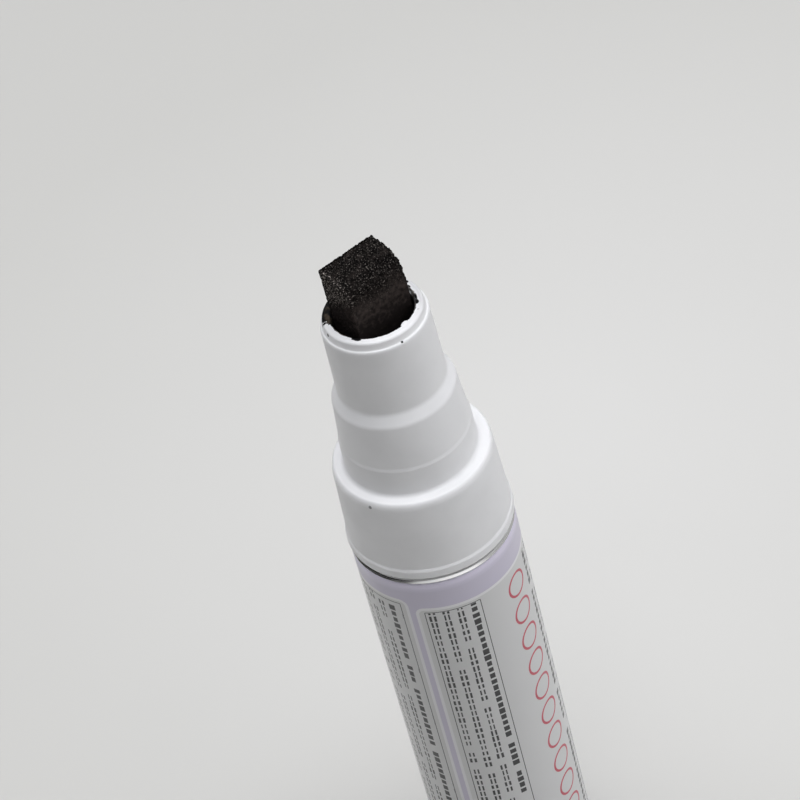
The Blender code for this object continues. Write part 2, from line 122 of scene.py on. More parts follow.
class PenSizes(bpy.types.PropertyGroup):
    """Sizes of the modelled pieces, as in the CAD source."""

    fit: length("Fit", "Clearance between two pieces", 0.0003)
    edge_round: length("Edge round", "Radius of the moulded edges", 0.0003)
    root_round: length("Root round", "Radius in the moulded inner corners", 0.0007)
    shoulder_round: length("Shoulder round", "Radius above and below the shoulder", 0.0018)

    can_radius: length("Can radius", "Outer radius of the can's wall", 0.0135)
    can_wall: length("Can wall", "Thickness of the can's wall", 0.0005)
    can_floor: length("Can floor", "Thickness of the can's floor", 0.0008)
    can_corner: length("Can corner", "Outer radius between wall and floor", 0.0022)
    dish_radius: length("Dish radius", "Radius of the dish in the can's base", 0.0080)
    dish_depth: length("Dish depth", "Depth of the dish in the can's base", 0.0009)
    rim_height: length("Rim height", "Height of the can's turned rim", 0.0009)
    rim_face: length("Rim face", "Height of the rim's sloped face", 0.00042)

    collar_lip_radius: length("Collar lip radius", "Radius of the lip at the collar's foot", 0.0140)
    collar_lip_height: length("Collar lip height", "Height of the lip at the collar's foot", 0.0022)
    collar_top_radius: length("Collar top radius", "Radius of the collar at its top", 0.01318)
    collar_height: length("Collar height", "Height of the collar", 0.0161)
    neck_foot_radius: length("Neck foot radius", "Radius of the neck on the collar", 0.01098)
    neck_step_radius: length("Neck step radius", "Radius of the neck above its small step", 0.01068)
    neck_step: length("Neck step", "Width of the neck's small step", 0.00018)
    neck_step_rise: length("Neck step rise", "Height over which the small step runs out", 0.0006)
    neck_step_height: length("Neck step height", "Height of the small step above the collar", 0.0055)
    neck_top_radius: length("Neck top radius", "Radius of the neck at its top", 0.01006)
    neck_height: length("Neck height", "Height of the neck", 0.0140)
    shoulder_height: length("Shoulder height", "Height of the shoulder under the nozzle", 0.0019)
    nozzle_foot_radius: length("Nozzle foot radius", "Radius of the nozzle at its foot", 0.00888)
    nozzle_height: length("Nozzle height", "Height of the nozzle", 0.0128)
    lip_radius: length("Mouth lip radius", "Outer radius of the lip round the nib", 0.00803)
    lip_height: length("Mouth lip height", "Height of the lip round the nib", 0.0017)
    mouth_radius: length("Mouth radius", "Radius of the nib chamber", 0.0070)
    mouth_bead: length("Mouth bead", "How far the lip's inner edge stands into the chamber", 0.00022)
    mouth_funnel: length("Mouth funnel", "How far the lip's inner edge narrows on its way down", 0.00028)
    roof: length("Collar roof", "Thickness of the collar's roof", 0.0020)
    skirt_wall: length("Skirt wall", "Thickness of the plug skirt", 0.0022)
    groove_depth: length("Groove depth", "Depth of the seal's groove", 0.0010)
    snap_bead: length("Snap bead", "Height of the bead that holds the valve in", 0.0005)
    snap_height: length("Snap bead length", "Length of the bead along the bore", 0.0012)
    snap_drop: length("Snap bead drop", "From the valve seat's foot down to the bead", 0.0021)
    rib_thickness: length("Rib thickness", "Thickness of the ribs that guide the nib", 0.0012)
    rib_length: length("Rib length", "Length of the ribs that guide the nib", 0.0080)
    rib_spread: length("Rib spread", "Distance of the broad-side ribs from the middle", 0.0030)
    rib_lift: length("Rib lift", "Height of the ribs above the nib's foot", 0.0008)

    nib_ridge: length("Nib ridge", "Distance of the bevel's ridge from the nib's back", 0.0049)
    nib_drop: length("Nib end drop", "Fall of the nib's end from its back edge to the ridge", 0.0005)
    nib_bevel: length("Nib bevel", "Fall of the bevel from the ridge to the front", 0.0019)
    nib_edge: length("Nib edge", "Rounding of the nib's edges", 0.00026)
    nib_rise: length("Nib rise", "How far the nib's end stands up before its pores are sunk", 0.00042)
    nib_soft: length("Nib soft edge", "Rounding of the worn edges across the nib", 0.0009)
    skin_drop: length("Skin drop", "Depth below the cut end at which the broad sides turn smooth", 0.0020)
    nib_swell: length("Nib swell", "How far the broad sides stand out before pores are sunk", 0.00015)
    nib_spread: length("Nib spread", "How far the narrow sides stand out before pores are sunk", 0.00021)
    nib_offset: length("Nib offset", "How far the nib sits off the middle, towards -X", 0.00013)
    grain_size: length("Grain size", "Size of the grains in the nib's cut faces", 0.00036)
    grain_depth: length("Grain depth", "Depth of the pores in the nib's cut faces", 0.0003)
    fine_size: length("Fine grain size", "Size of the fine grains in the nib's cut faces", 0.00024)
    fine_depth: length("Fine grain depth", "Depth of the fine pores in the nib's cut faces", 0.00014)
    pile_depth: length("Pile depth", "Depth of the texture on the nib's sides", 0.00009)
    wear_size: length("Wear size", "Width of the uneven wear on the nib's faces", 0.0016)
    wear_depth: length("Wear depth", "Depth of the uneven wear on the nib's faces", 0.00016)

    seam_width: length("Seam width", "Width of the label's overlap", 0.0030)
    seam_step: length("Seam step", "Height of the label's overlap", 0.00006)
    pull: length("Label pull", "How far the label's top edge is drawn in", 0.00022)
    pull_height: length("Label pull height", "Height over which the label is drawn in", 0.0011)
    spring_wire: length("Spring wire", "Diameter of the valve spring's wire", 0.0008)


class PenColours(bpy.types.PropertyGroup):
    """Colours of the pen's finishes."""

    plastic: tint("Holder plastic", "Moulded white of the nib holder", "EFEFF0")
    plastic_shade: tint("Holder plastic shade", "Slightly duller white where it was handled", "EBEBEC")
    paint: tint("Paint", "Dried black paint", "0A0A0B")
    paint_thin: tint("Thin paint", "Paint that was wiped thin over white plastic", "423A31")
    felt: tint("Felt pores", "Wet paint deep in the felt", "070606")
    felt_fibre: tint("Felt fibre", "Dry paint on the tips of the fibres", "D0C6BE")
    felt_skin: tint("Felt skin", "Brown-black skin of the nib's broad sides", "433C39")
    felt_shade: tint("Felt skin shade", "Damp spots in the skin", "252120")
    ground: tint("Label ground", "Lavender ground of the label", "D3CEDF")
    panel: tint("Label panel", "Off-white of the printed panels", "D8D8D8")
    border: tint("Label border", "White border of the panels", "ECEBEE")
    ink: tint("Ink", "Small dark print", "2B2B2D")
    red: tint("Red ink", "Red outlines", "C2495A")
    aluminium: tint("Aluminium", "Bare drawn aluminium", "E4E4E5")
    natural: tint("Natural plastic", "Uncoloured plastic of the valve", "DEDED4")
    rubber: tint("Rubber", "Black nitrile rubber", "232323")
    steel: tint("Steel", "Spring wire and balls", "C4C4C6")
    floor: tint("Floor", "Pale floor in its lit middle", "DBDAD7")
    floor_far: tint("Far floor", "Pale floor further out", "D0CFCB")
    floor_bounce: tint("Floor bounce", "Floor as it lights the pen", "BDBCB9")
    lamp: tint("Lamp", "Cool white of the soft lamps", "FBFCFF")
    backdrop: tint("Backdrop", "Pale surroundings", "DCDCDB")


class StageSettings(bpy.types.PropertyGroup):
    """Camera and light, with directions about the view's own azimuth."""

    azimuth: turn("Azimuth", "Camera's turn about the pen's axis", 28.3)
    elevation: turn("Elevation", "Camera's height above the mouth's plane", 42.22)
    roll: turn("Roll", "Camera's roll", -15.51)
    distance: length("Distance", "Depth of the mouth's centre from the camera", 0.4923)
    focal: amount("Focal length", "Lens in millimetres", 144.0)
    mouth_u: amount("Mouth across", "Mouth centre's pixel across the picture", 372.3)
    mouth_v: amount("Mouth down", "Mouth centre's pixel down the picture", 308.3)
    lamp_distance: length("Lamp distance", "Distance of the soft lamps", 1.6)
    lamp_size: length("Lamp size", "Width of the soft lamps", 1.2)
    top_power: amount("Top lamp", "Power of the lamp overhead", 27.2, "POWER")
    high_power: amount("High lamp", "Power of the high lamp in front", 2.5, "POWER")
    side_power: amount("Side lamp", "Power of the lamp on the right", 5.7, "POWER")
    front_power: amount("Front lamp", "Power of the low lamp in front", 5.0, "POWER")
    left_power: amount("Left lamp", "Power of the low lamp on the left", 2.4, "POWER")
    back_power: amount("Back lamp", "Power of the low lamp behind", 2.7, "POWER")
    fill: amount("Fill", "Strength of the surroundings' light", 0.01)
    dim: amount("Dim side", "Strength of the room on the left in reflections", 0.05)
    pale: amount("Pale side", "Strength of the room on the right in reflections", 0.75)
    wall: amount("Bright wall", "Added strength of the wall behind the camera", 1.2)
    floor_size: length("Floor size", "Width of the floor", 4.0)


def select_only(made=None):
    """Clears the selection, and makes one object the selected and active one."""
    bpy.ops.object.select_all(action="DESELECT")
    if made is not None:
        made.select_set(True)
        bpy.context.view_layer.objects.active = made


def named(name):
    """Names the object that an operator has just added."""
    made = bpy.context.object
    made.name = name
    made.data.name = name
    return made


def apply_modifiers(made):
    """Applies an object's modifiers in their order."""
    select_only(made)
    for step in list(made.modifiers):
        bpy.ops.object.modifier_apply(modifier=step.name)


def pick_faces(made, wanted):
    """Selects the faces that a test on their centre and normal picks, and goes to edit mode."""
    select_only(made)
    bpy.ops.object.mode_set(mode="EDIT")
    bpy.ops.mesh.select_mode(type="FACE")
    bpy.ops.mesh.select_all(action="DESELECT")
    bpy.ops.object.mode_set(mode="OBJECT")
    for face in made.data.polygons:
        face.select = wanted(face.center, face.normal)
    bpy.ops.object.mode_set(mode="EDIT")


def smooth(made):
    """Smooths the shading over small turns, and keeps large faces flat up to their rounded edges."""
    select_only(made)
    bpy.ops.object.shade_smooth_by_angle(angle=SMOOTH_ANGLE)
    made.modifiers.new("Flat faces", "WEIGHTED_NORMAL").keep_sharp = True
    apply_modifiers(made)


def rounded(corners):
    """Outline points (radius, height) from corners (radius, height, fillet)."""
    points = []
    for i, (radius, height, fillet) in enumerate(corners):
        here = Vector((radius, height))
        back = Vector(corners[i - 1][:2]) - here
        ahead = Vector(corners[(i + 1) % len(corners)][:2]) - here
        half = back.angle(ahead) / 2
        run = min(fillet / math.tan(half), FILLET_SHARE * back.length, FILLET_SHARE * ahead.length)
        if run < WELD:
            points.append(here)
            continue
        bend = run * math.tan(half)
        centre = here + (back.normalized() + ahead.normalized()).normalized() * (bend / math.sin(half))
        start = here + back.normalized() * run - centre
        end = here + ahead.normalized() * run - centre
        clockwise = start.angle_signed(end)
        steps = max(1, round(abs(clockwise) / ARC_STEP))
        for k in range(steps + 1):
            angle = math.atan2(start.y, start.x) - clockwise * k / steps
            points.append(centre + Vector((math.cos(angle), math.sin(angle))) * bend)
    return points


def turned_piece(name, outline, closed=True):
    """Draws an outline by extruding one vertex from point to point, and spins it round the pen's axis."""
    path = [Vector((radius, 0.0, height)) for radius, height in outline]
    if closed:
        path.append(path[0])
    select_only()
    bpy.ops.mesh.primitive_plane_add(size=WELD, location=(0, 0, 0))
    made = named(name)
    bpy.ops.object.mode_set(mode="EDIT")
    bpy.ops.mesh.select_mode(type="VERT")
    bpy.ops.mesh.select_all(action="SELECT")
    bpy.ops.mesh.merge(type="CENTER")
    bpy.ops.transform.translate(value=path[0])
    for start, end in zip(path, path[1:]):
        bpy.ops.mesh.extrude_region_move(TRANSFORM_OT_translate={"value": end - start})
    bpy.ops.mesh.select_all(action="SELECT")
    bpy.ops.mesh.remove_doubles(threshold=WELD)
    bpy.ops.mesh.spin(steps=SIDES, angle=math.tau, center=(0, 0, 0), axis=(0, 0, 1))
    bpy.ops.mesh.select_all(action="SELECT")
    bpy.ops.mesh.remove_doubles(threshold=WELD)
    bpy.ops.mesh.normals_make_consistent(inside=False)
    bpy.ops.object.mode_set(mode="OBJECT")
    return made


def block(name, low, high):
    """A cube primitive between two corners, with its place in its mesh."""
    low, high = Vector(low), Vector(high)
    select_only()
    bpy.ops.mesh.primitive_cube_add(size=1.0, location=(low + high) / 2, scale=high - low)
    bpy.ops.object.transform_apply(location=True, rotation=True, scale=True)
    return named(name)


def stand_for(made, node, body, material):
    """Gives a piece its material and body, and lets it stand for a CAD node of the same size."""
    spots = [vertex.co for vertex in made.data.vertices]
    for corner, pick in zip(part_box(node), (min, max)):
        for axis in range(3):
            apart = pick(spot[axis] for spot in spots) - corner[axis]
            if abs(apart) > MATCH:
                raise RuntimeError(f"{made.name} is {apart * MM:.2f} mm off {node} along {'xyz'[axis]}")
    made.data.materials.clear()
    made.data.materials.append(material)
    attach(made, body)
    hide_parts(node)


def pitch(millimetres):
    """The texture scale that gives a pattern of this size on coordinates in metres."""
    return MM / millimetres


def add_node(tree, kind, *values, out=0, **options):
    """Adds a node, sets its options, sets or links its inputs in order or by key, and returns one output."""
    made = tree.nodes.new("ShaderNode" + kind)
    for option, value in options.items():
        setattr(made, option, value)
    inputs = values[0] if values and isinstance(values[0], dict) else dict(enumerate(values))
    for socket, value in inputs.items():
        if isinstance(value, bpy.types.NodeSocket):
            tree.links.new(value, made.inputs[socket])
        else:
            made.inputs[socket].default_value = value
    return made.outputs[out]


def new_material(name, settings):
    """A Principled material with these socket values. Returns it, its node adder and the coordinates."""
    made = bpy.data.materials.new(name)
    made.use_nodes = True
    shader = made.node_tree.nodes["Principled BSDF"].inputs
    for socket, value in settings.items():
        shader[socket].default_value = value
    add = partial(add_node, made.node_tree)
    return made, add, add("TexCoord", out="Object")


def finished(made, looks):
    """Links a material's looks to the sockets of its shader, and returns the material."""
    shader = made.node_tree.nodes["Principled BSDF"].inputs
    for socket, look in looks.items():
        made.node_tree.links.new(look, shader[socket])
    return made


def scaled(colour, share):
    """A colour made darker or lighter."""
    return (*[min(1.0, share * part) for part in colour[:3]], 1.0)


def white_polypropylene(colours, sizes):
    """Injection-moulded polypropylene: satin and milky, so lit edges glow, with dried paint at the mouth."""
    made, add, place = new_material("moulded_polypropylene", {
        "Metallic": 0.0, "Roughness": 0.4, "IOR": 1.49,
        "Subsurface Weight": 0.4, "Subsurface Radius": (1.0, 1.0, 1.0), "Subsurface Scale": 0.0005,
    })
    cloud = add("TexNoise", {"Vector": place, "Scale": pitch(7.0), "Detail": 3.0})
    tone = add("MapRange", cloud, 0.42, 0.68)
    white = add("Mix", {0: tone, 6: colours.plastic, 7: colours.plastic_shade}, data_type="RGBA", out=2)
    shade, inner = dried_paint(add, place, sizes)
    streak = add("Mapping", {"Vector": place, "Scale": (1.0, 1.0, 0.25)})
    wiped = add("TexNoise", {"Vector": streak, "Scale": pitch(0.9), "Detail": 4.0})
    thin = add("MapRange", wiped, 0.42, 0.62)
    thin = add("Math", thin, inner, operation="MULTIPLY")
    paint = add("Mix", {0: thin, 6: colours.paint, 7: colours.paint_thin}, data_type="RGBA", out=2)
    colour = add("Mix", {0: shade, 6: white, 7: paint}, data_type="RGBA", out=2)
    gloss = add("MapRange", cloud, 0.3, 0.7, 0.36, 0.46)

    # The mould's fine texture is drawn at 0.2 mm, coarser than it is, so that it shows
    grit = add("TexNoise", {"Vector": place, "Scale": pitch(0.2), "Detail": 2.0})
    bump = add("Bump", {"Strength": 0.08, "Distance": 0.00003, "Height": grit})
    return finished(made, {
        "Base Color": colour,
        "Roughness": add("Mix", {0: shade, 2: gloss, 3: 0.55}),
        "Specular IOR Level": add("MapRange", {0: shade, 3: 0.5, 4: 0.1}),
        "Normal": bump,
    })


# Dried paint on the nib holder, in millimetres and in degrees from the photograph's side of the pen.
# Pairs are the radii or the drops below the mouth over which something changes.
PAINT_EDGE = 0.15
PAINT_WANDER = 0.09
PAINT_SOFT = 0.04
END_WANDER, END_SOFT = 0.7, 0.02
LIP_TOP = (7.2, 7.7)
RUN_SIDE, RUN_HALF, RUN_REACH = -107.5, 23.0, 1.9
WIPED_SIDE, WIPED_HALF, WIPED_DEPTH = 104.0, 48.0, (0.5, 4.0)
THIN_RADII = (7.35, 7.75)
Spot = namedtuple("Spot", "side radius drop size stretch cover")
SPOTS = (
    Spot(-31.0, 7.02, 0.0, 0.34, 2.4, 1.0),
    Spot(-71.0, 8.10, 0.6, 0.28, 1.0, 0.9),
    Spot(80.0, 7.02, -0.05, 0.28, 2.2, 1.0),
    Spot(90.0, 6.93, -0.05, 0.20, 4.8, 1.0),
    Spot(113.0, 6.97, 0.0, 0.13, 4.6, 1.0),
    Spot(123.0, 7.38, 0.0, 0.30, 1.3, 1.0),
    Spot(21.0, 8.44, 1.36, 0.19, 1.0, 1.0),
    Spot(66.0, 7.45, 0.0, 0.19, 1.0, 0.35),
    Spot(-42.0, 13.15, 31.4, 0.30, 1.0, 0.65),
)
CLEAN_SPOTS = (
    Spot(106.0, 6.80, 0.6, 0.45, 1.0, 0.85),
    Spot(38.0, 6.65, 0.1, 0.60, 1.5, 1.0),
)
# The lip's top is darkened a little: the side where it is darkest, the least and most darkening, and the
# radii and drops over which it begins and ends
LIP_DIM_SIDE, LIP_DIM_LEAST, LIP_DIM_MOST = 112.0, 0.07, 0.24
LIP_DIM_RADII, LIP_DIM_DEPTH = (7.0, 7.5), (0.4, 1.2)


def bearing(degrees):
    """The turn about the pen's axis for an angle from the photograph's side of the pen."""
    return math.radians(degrees) - bpy.context.scene.pen_stage.azimuth


def facing(degrees, radius=1.0, z=0.0):
    """A place at an angle from the photograph's side of the pen."""
    angle = bearing(degrees)
    return Vector((math.sin(angle) * radius, -math.cos(angle) * radius, z))


def dried_paint(add, place, sizes):
    """Masks of the paint, which fills the chamber and has run over the lip, and of where it is wiped thin."""

    def towards(side):
        """Cosine of the angle from a side of the pen."""
        return add("VectorMath", heading, facing(side), operation="DOT_PRODUCT", out="Value")

    def window(side, half):
        """One within an angle of a side of the pen, with a ragged end."""
        turned = add("Math", ragged, END_WANDER, towards(side), operation="MULTIPLY_ADD")
        inside = math.cos(math.radians(half))
        return add("MapRange", turned, inside - END_SOFT, inside + END_SOFT)

    def stain(spot):
        """Cover of a ragged spot, round or stretched along the lip."""
        away = add("Mapping", {
            "Vector": place,
            "Location": facing(spot.side, spot.radius / MM, MOUTH_Z - spot.drop / MM),
            "Rotation": (0.0, 0.0, bearing(spot.side)),
            "Scale": (spot.stretch, 1.0, 1.0),
        }, vector_type="TEXTURE")
        away = add("VectorMath", away, operation="LENGTH", out="Value")
        away = add("Math", away, MM, operation="MULTIPLY")
        # A larger spot has a more ragged edge
        away = add("Math", ragged, 0.5 + 2.0 * spot.size, away, operation="MULTIPLY_ADD")
        return add("MapRange", away, spot.size - PAINT_SOFT, spot.size + PAINT_SOFT, spot.cover, 0.0)

    flat = add("VectorMath", place, (MM, MM, 0.0), operation="MULTIPLY")
    radius = add("VectorMath", flat, operation="LENGTH", out="Value")
    heading = add("VectorMath", flat, operation="NORMALIZE")
    height = add("SeparateXYZ", place, out="Z")
    depth = add("Math", height, -MM, MOUTH_Z * MM, operation="MULTIPLY_ADD")
    torn = add("TexNoise", {"Vector": place, "Scale": pitch(0.8), "Detail": 4.0})
    ragged = add("MapRange", torn, 0.3, 0.7, -PAINT_WANDER, PAINT_WANDER)

    # Reach along the lip: the way down inside it counts as further in, and outside as further out
    outside = add("MapRange", radius, *LIP_TOP, -1.0, 0.8)
    reach = add("Math", outside, depth, radius, operation="MULTIPLY_ADD")
    reach = add("Math", reach, ragged, operation="ADD")
    run = window(RUN_SIDE, RUN_HALF)
    reach = add("Math", run, -RUN_REACH, reach, operation="MULTIPLY_ADD")
    edge = (sizes.mouth_radius - sizes.mouth_bead) * MM + PAINT_EDGE
    shade = add("MapRange", reach, edge - PAINT_SOFT, edge + PAINT_SOFT, 1.0, 0.0)

    # On the wiped side only a streaky film is left on the chamber's wall
    drawn = add("Mapping", {"Vector": place, "Scale": (1.0, 1.0, 0.12)})
    streak = add("TexNoise", {"Vector": drawn, "Scale": pitch(1.1), "Detail": 3.0})
    film = add("MapRange", streak, 0.35, 0.65, 0.8, 0.95)
    deep = add("MapRange", depth, *WIPED_DEPTH)
    film = add("Mix", {0: deep, 2: film, 3: 1.0})
    film = add("Mix", {0: window(WIPED_SIDE, WIPED_HALF), 2: 1.0, 3: film})
    shade = add("Math", shade, film, operation="MULTIPLY")

    for spot in CLEAN_SPOTS:
        clean = add("Math", 1.0, stain(spot), operation="SUBTRACT")
        shade = add("Math", shade, clean, operation="MULTIPLY")

    # The lip's top is made a little darker, most towards one side, and the spots are thick
    lip_dimming = add("MapRange", towards(LIP_DIM_SIDE), 0.3, 1.0, LIP_DIM_LEAST, LIP_DIM_MOST)
    on_top = add("MapRange", depth, *LIP_DIM_DEPTH, 1.0, 0.0)
    off_edge = add("MapRange", radius, *LIP_DIM_RADII)
    for share in (on_top, off_edge):
        lip_dimming = add("Math", lip_dimming, share, operation="MULTIPLY")
    shade = add("Math", shade, lip_dimming, operation="MAXIMUM")
    inner = add("MapRange", radius, *THIN_RADII, 1.0, 0.1)
    for spot in SPOTS:
        thick = stain(spot)
        shade = add("Math", shade, thick, operation="MAXIMUM")
        bare = add("Math", 1.0, thick, operation="SUBTRACT")
        inner = add("Math", inner, bare, operation="MULTIPLY")
    return shade, inner


def cut_planes(sizes):
    """Points and normals of the nib's two cut faces, the end and the bevel."""
    depth = NIB_HIGH.y - NIB_LOW.y
    top = NIB_HIGH.z + sizes.nib_rise
    ridge = Vector((0.0, NIB_HIGH.y - sizes.nib_ridge, top - sizes.nib_drop))
    return (
        (Vector((0.0, NIB_HIGH.y, top)), Vector((0.0, -sizes.nib_drop, sizes.nib_ridge)).normalized()),
        (ridge, Vector((0.0, -sizes.nib_bevel, depth - sizes.nib_ridge)).normalized()),
    )


def painted_felt(colours, sizes):
    """Pressed felt full of black paint: open grain with dry tips where cut, and a smooth brown-black skin."""
    made, add, place = new_material("painted_felt", {
        "Metallic": 0.0, "Roughness": 0.85, "IOR": 1.45, "Specular IOR Level": 0.02,
    })
    fade = sizes.skin_drop

    # The grain shows on the cut end and at the top of the narrow sides, and fades out down the broad ones
    heights = []
    for point, normal in cut_planes(sizes):
        along = add("VectorMath", place, normal, operation="DOT_PRODUCT", out="Value")
        heights.append(add("Math", along, point.dot(normal), operation="SUBTRACT"))
    below = add("Math", heights[0], heights[1], operation="MAXIMUM")
    patch = add("TexNoise", {"Vector": place, "Scale": pitch(1.3), "Detail": 3.0})
    uneven = add("MapRange", patch, 0.3, 0.7, -0.4 * fade, 0.4 * fade)
    below = add("Math", below, uneven, operation="ADD")
    end = add("MapRange", below, -fade * 1.5, -fade * 0.1)
    across = add("Math", add("SeparateXYZ", place, out="X"), operation="ABSOLUTE")
    across = add("Math", uneven, 0.3, across, operation="MULTIPLY_ADD")
    side = NIB_HIGH.x - sizes.nib_edge
    narrow = add("MapRange", across, side - sizes.nib_edge, side + sizes.nib_edge / 2)
    height = add("VectorMath", place, (0.0, 0.5, 1.0), operation="DOT_PRODUCT", out="Value")
    dry = add("MapRange", height, MOUTH_Z + fade * 1.5, MOUTH_Z + fade * 2.8)
    narrow = add("Math", narrow, dry, operation="MULTIPLY")
    cut = add("Math", end, narrow, operation="MAXIMUM")

    grain = add("TexNoise", {"Vector": place, "Scale": pitch(0.2), "Detail": 1.0, "Roughness": 0.6})
    proud = add("MapRange", add("NewGeometry", out="Pointiness"), 0.47, 0.56, 0.06, 1.0)
    tips = add("Math", narrow, 0.10, grain, operation="MULTIPLY_ADD")
    tips = add("MapRange", tips, 0.50, 0.65)
    worn = add("MapRange", {0: narrow, 3: 0.37, 4: 0.82})
    for share in (proud, worn):
        tips = add("Math", tips, share, operation="MULTIPLY")
    open_grain = add("Mix", {0: tips, 6: colours.felt, 7: colours.felt_fibre}, data_type="RGBA", out=2)
    # Random darker spots in the skin, and the skin is also made darker towards the bottom, near the mouth
    skin_darkening = add("TexNoise", {"Vector": place, "Scale": pitch(0.7), "Detail": 2.0})
    skin_darkening = add("MapRange", skin_darkening, 0.32, 0.72)
    lower_darkening = add("MapRange", below, -fade * 3.4, -fade * 1.4, 0.9, 0.0)
    skin_darkening = add("Math", skin_darkening, lower_darkening, operation="ADD", use_clamp=True)
    skin = add("Mix", {0: skin_darkening, 6: colours.felt_skin, 7: colours.felt_shade}, data_type="RGBA", out=2)
    colour = add("Mix", {0: cut, 6: skin, 7: open_grain}, data_type="RGBA", out=2)
    gloss = add("MapRange", grain, 0.35, 0.7, 0.7, 0.95)
    bump = add("Bump", {"Strength": 0.3, "Distance": 0.00008, "Height": skin_darkening})
    return finished(made, {"Base Color": colour, "Roughness": gloss, "Normal": bump})


def drawn_aluminium(colours):
    """Drawn and trimmed aluminium: bright, with fine lines that run round the can."""
    made, add, place = new_material("drawn_aluminium", {"Metallic": 1.0, "Roughness": 0.24, "IOR": 1.5})
    lines = add("Mapping", {"Vector": place, "Scale": (0.03, 0.03, 1.0)})
    drawn = add("TexNoise", {"Vector": lines, "Scale": pitch(0.12), "Detail": 4.0})
    smudge = add("TexNoise", {"Vector": place, "Scale": pitch(5.0), "Detail": 3.0})
    dull = scaled(colours.aluminium, 0.82)
    colour = add("Mix", {0: smudge, 6: colours.aluminium, 7: dull}, data_type="RGBA", out=2)
    gloss = add("MapRange", drawn, 0.3, 0.7, 0.17, 0.32)
    bump = add("Bump", {"Strength": 0.15, "Distance": 0.00003, "Height": drawn})
    return finished(made, {"Base Color": colour, "Roughness": gloss, "Normal": bump})


# Drops below the valve seat's top, in millimetres, over which the nib chamber's paint ends
CHAMBER_PAINT = (1.2, 0.4)


def natural_plastic(colours):
    """Uncoloured moulded polyethylene: waxy and milky, splashed with paint, and black in the nib chamber."""
    made, add, place = new_material("natural_polyethylene", {
        "Metallic": 0.0, "Roughness": 0.45, "IOR": 1.51,
        "Subsurface Weight": 0.2, "Subsurface Radius": (1.0, 0.95, 0.8), "Subsurface Scale": 0.001,
    })
    splash = add("TexNoise", {"Vector": place, "Scale": pitch(2.6), "Detail": 4.0})
    height = add("SeparateXYZ", place, out="Z")
    chamber = add("MapRange", height, *[SEAT_HIGH.z - drop / MM for drop in CHAMBER_PAINT])
    wet = add("MapRange", splash, 0.52, 0.56)
    wet = add("Math", wet, chamber, operation="MAXIMUM")
    colour = add("Mix", {0: wet, 6: colours.natural, 7: colours.paint}, data_type="RGBA", out=2)
    gloss = add("MapRange", splash, 0.3, 0.7, 0.5, 0.3)
    return finished(made, {"Base Color": colour, "Roughness": gloss})


def nitrile_rubber(colours):
    """Moulded nitrile rubber: black and matt, with a fine bloom."""
    made, add, place = new_material("nitrile_rubber", {"Metallic": 0.0, "Roughness": 0.6, "IOR": 1.52})
    bloom = add("TexNoise", {"Vector": place, "Scale": pitch(0.6), "Detail": 4.0})
    grey = scaled(colours.rubber, 2.2)
    dusty = add("MapRange", bloom, 0.5, 0.8)
    colour = add("Mix", {0: dusty, 6: colours.rubber, 7: grey}, data_type="RGBA", out=2)
    bump = add("Bump", {"Strength": 0.2, "Distance": 0.00004, "Height": bloom})
    return finished(made, {"Base Color": colour, "Normal": bump})


def bright_steel(colours):
    """Drawn spring wire and ground balls: bright steel with fine scuffs and a little paint left on it."""
    made, add, place = new_material("bright_steel", {"Metallic": 1.0, "Roughness": 0.26, "IOR": 1.5})
    scuff = add("TexNoise", {"Vector": place, "Scale": pitch(0.5), "Detail": 5.0})
    wet = add("TexNoise", {"Vector": place, "Scale": pitch(3.2), "Detail": 2.0})
    coat = add("MapRange", wet, 0.60, 0.63)
    colour = add("Mix", {0: coat, 6: colours.steel, 7: colours.paint}, data_type="RGBA", out=2)
    gloss = add("MapRange", scuff, 0.3, 0.7, 0.18, 0.36)
    return finished(made, {
        "Base Color": colour,
        "Metallic": add("MapRange", {0: coat, 3: 1.0, 4: 0.0}),
        "Roughness": gloss,
    })


# Label layout in millimetres: across from the middle of the print, and down from the label's top edge.
# The film's top is painted paler, as painted light, down to the pair of drops given after the panels.
LABEL_TURN = math.radians(-18.2)
Panel = namedtuple("Panel", "left right top bottom frame_left frame_right")
PANELS = (
    Panel(-42.9, -18.95, 4.0, 80.0, -41.4, -20.4),
    Panel(-17.95, 9.8, 5.6, 80.0, -16.4, -6.9),
    Panel(10.8, 42.9, 5.6, 80.0, 12.4, 41.3),
)
TOP_LIGHT_DROPS = (0.3, 2.0)
PANEL_CORNER = 1.6
PANEL_BORDER = 0.55
FRAME_INSET = 1.1
FRAME_LINE = 0.14
LINE_PITCH = 2.35
LINE_WEIGHT = 1.25
MARK_PITCH = 1.5
MARK_LENGTH = 1.3
# Shares of the pitch by which a mark may be slimmer, and up to which its gap may grow, and of marks left out
SLIMMER, WIDEST_GAP, LEFT_OUT = 0.09, 0.2, 0.12
BOLD_EVERY, BOLD_LINE = 6, 2
CORE = 0.36
SIDE_LINES = (4.9, 8.6)
RING_PLACE = (1.2, 10.2)
RING_PITCH, RING_COUNT = 6.4, 11
RING_RADIUS = 2.3
RING_LINE = 0.46


def panel_distance(add, spot, left, right, top, bottom, corner):
    """Distance, in millimetres, from a rounded panel's edge. It is negative inside."""
    centre = ((left + right) / 2, (top + bottom) / 2, 0.0)
    half = ((right - left) / 2 - corner, (bottom - top) / 2 - corner, 0.0)
    apart = add("VectorMath", spot, centre, operation="SUBTRACT")
    apart = add("VectorMath", apart, operation="ABSOLUTE")
    apart = add("VectorMath", apart, half, operation="SUBTRACT")
    apart = add("VectorMath", apart, (0.0, 0.0, 0.0), operation="MAXIMUM")
    apart = add("VectorMath", apart, operation="LENGTH", out="Value")
    return add("Math", apart, corner, operation="SUBTRACT")


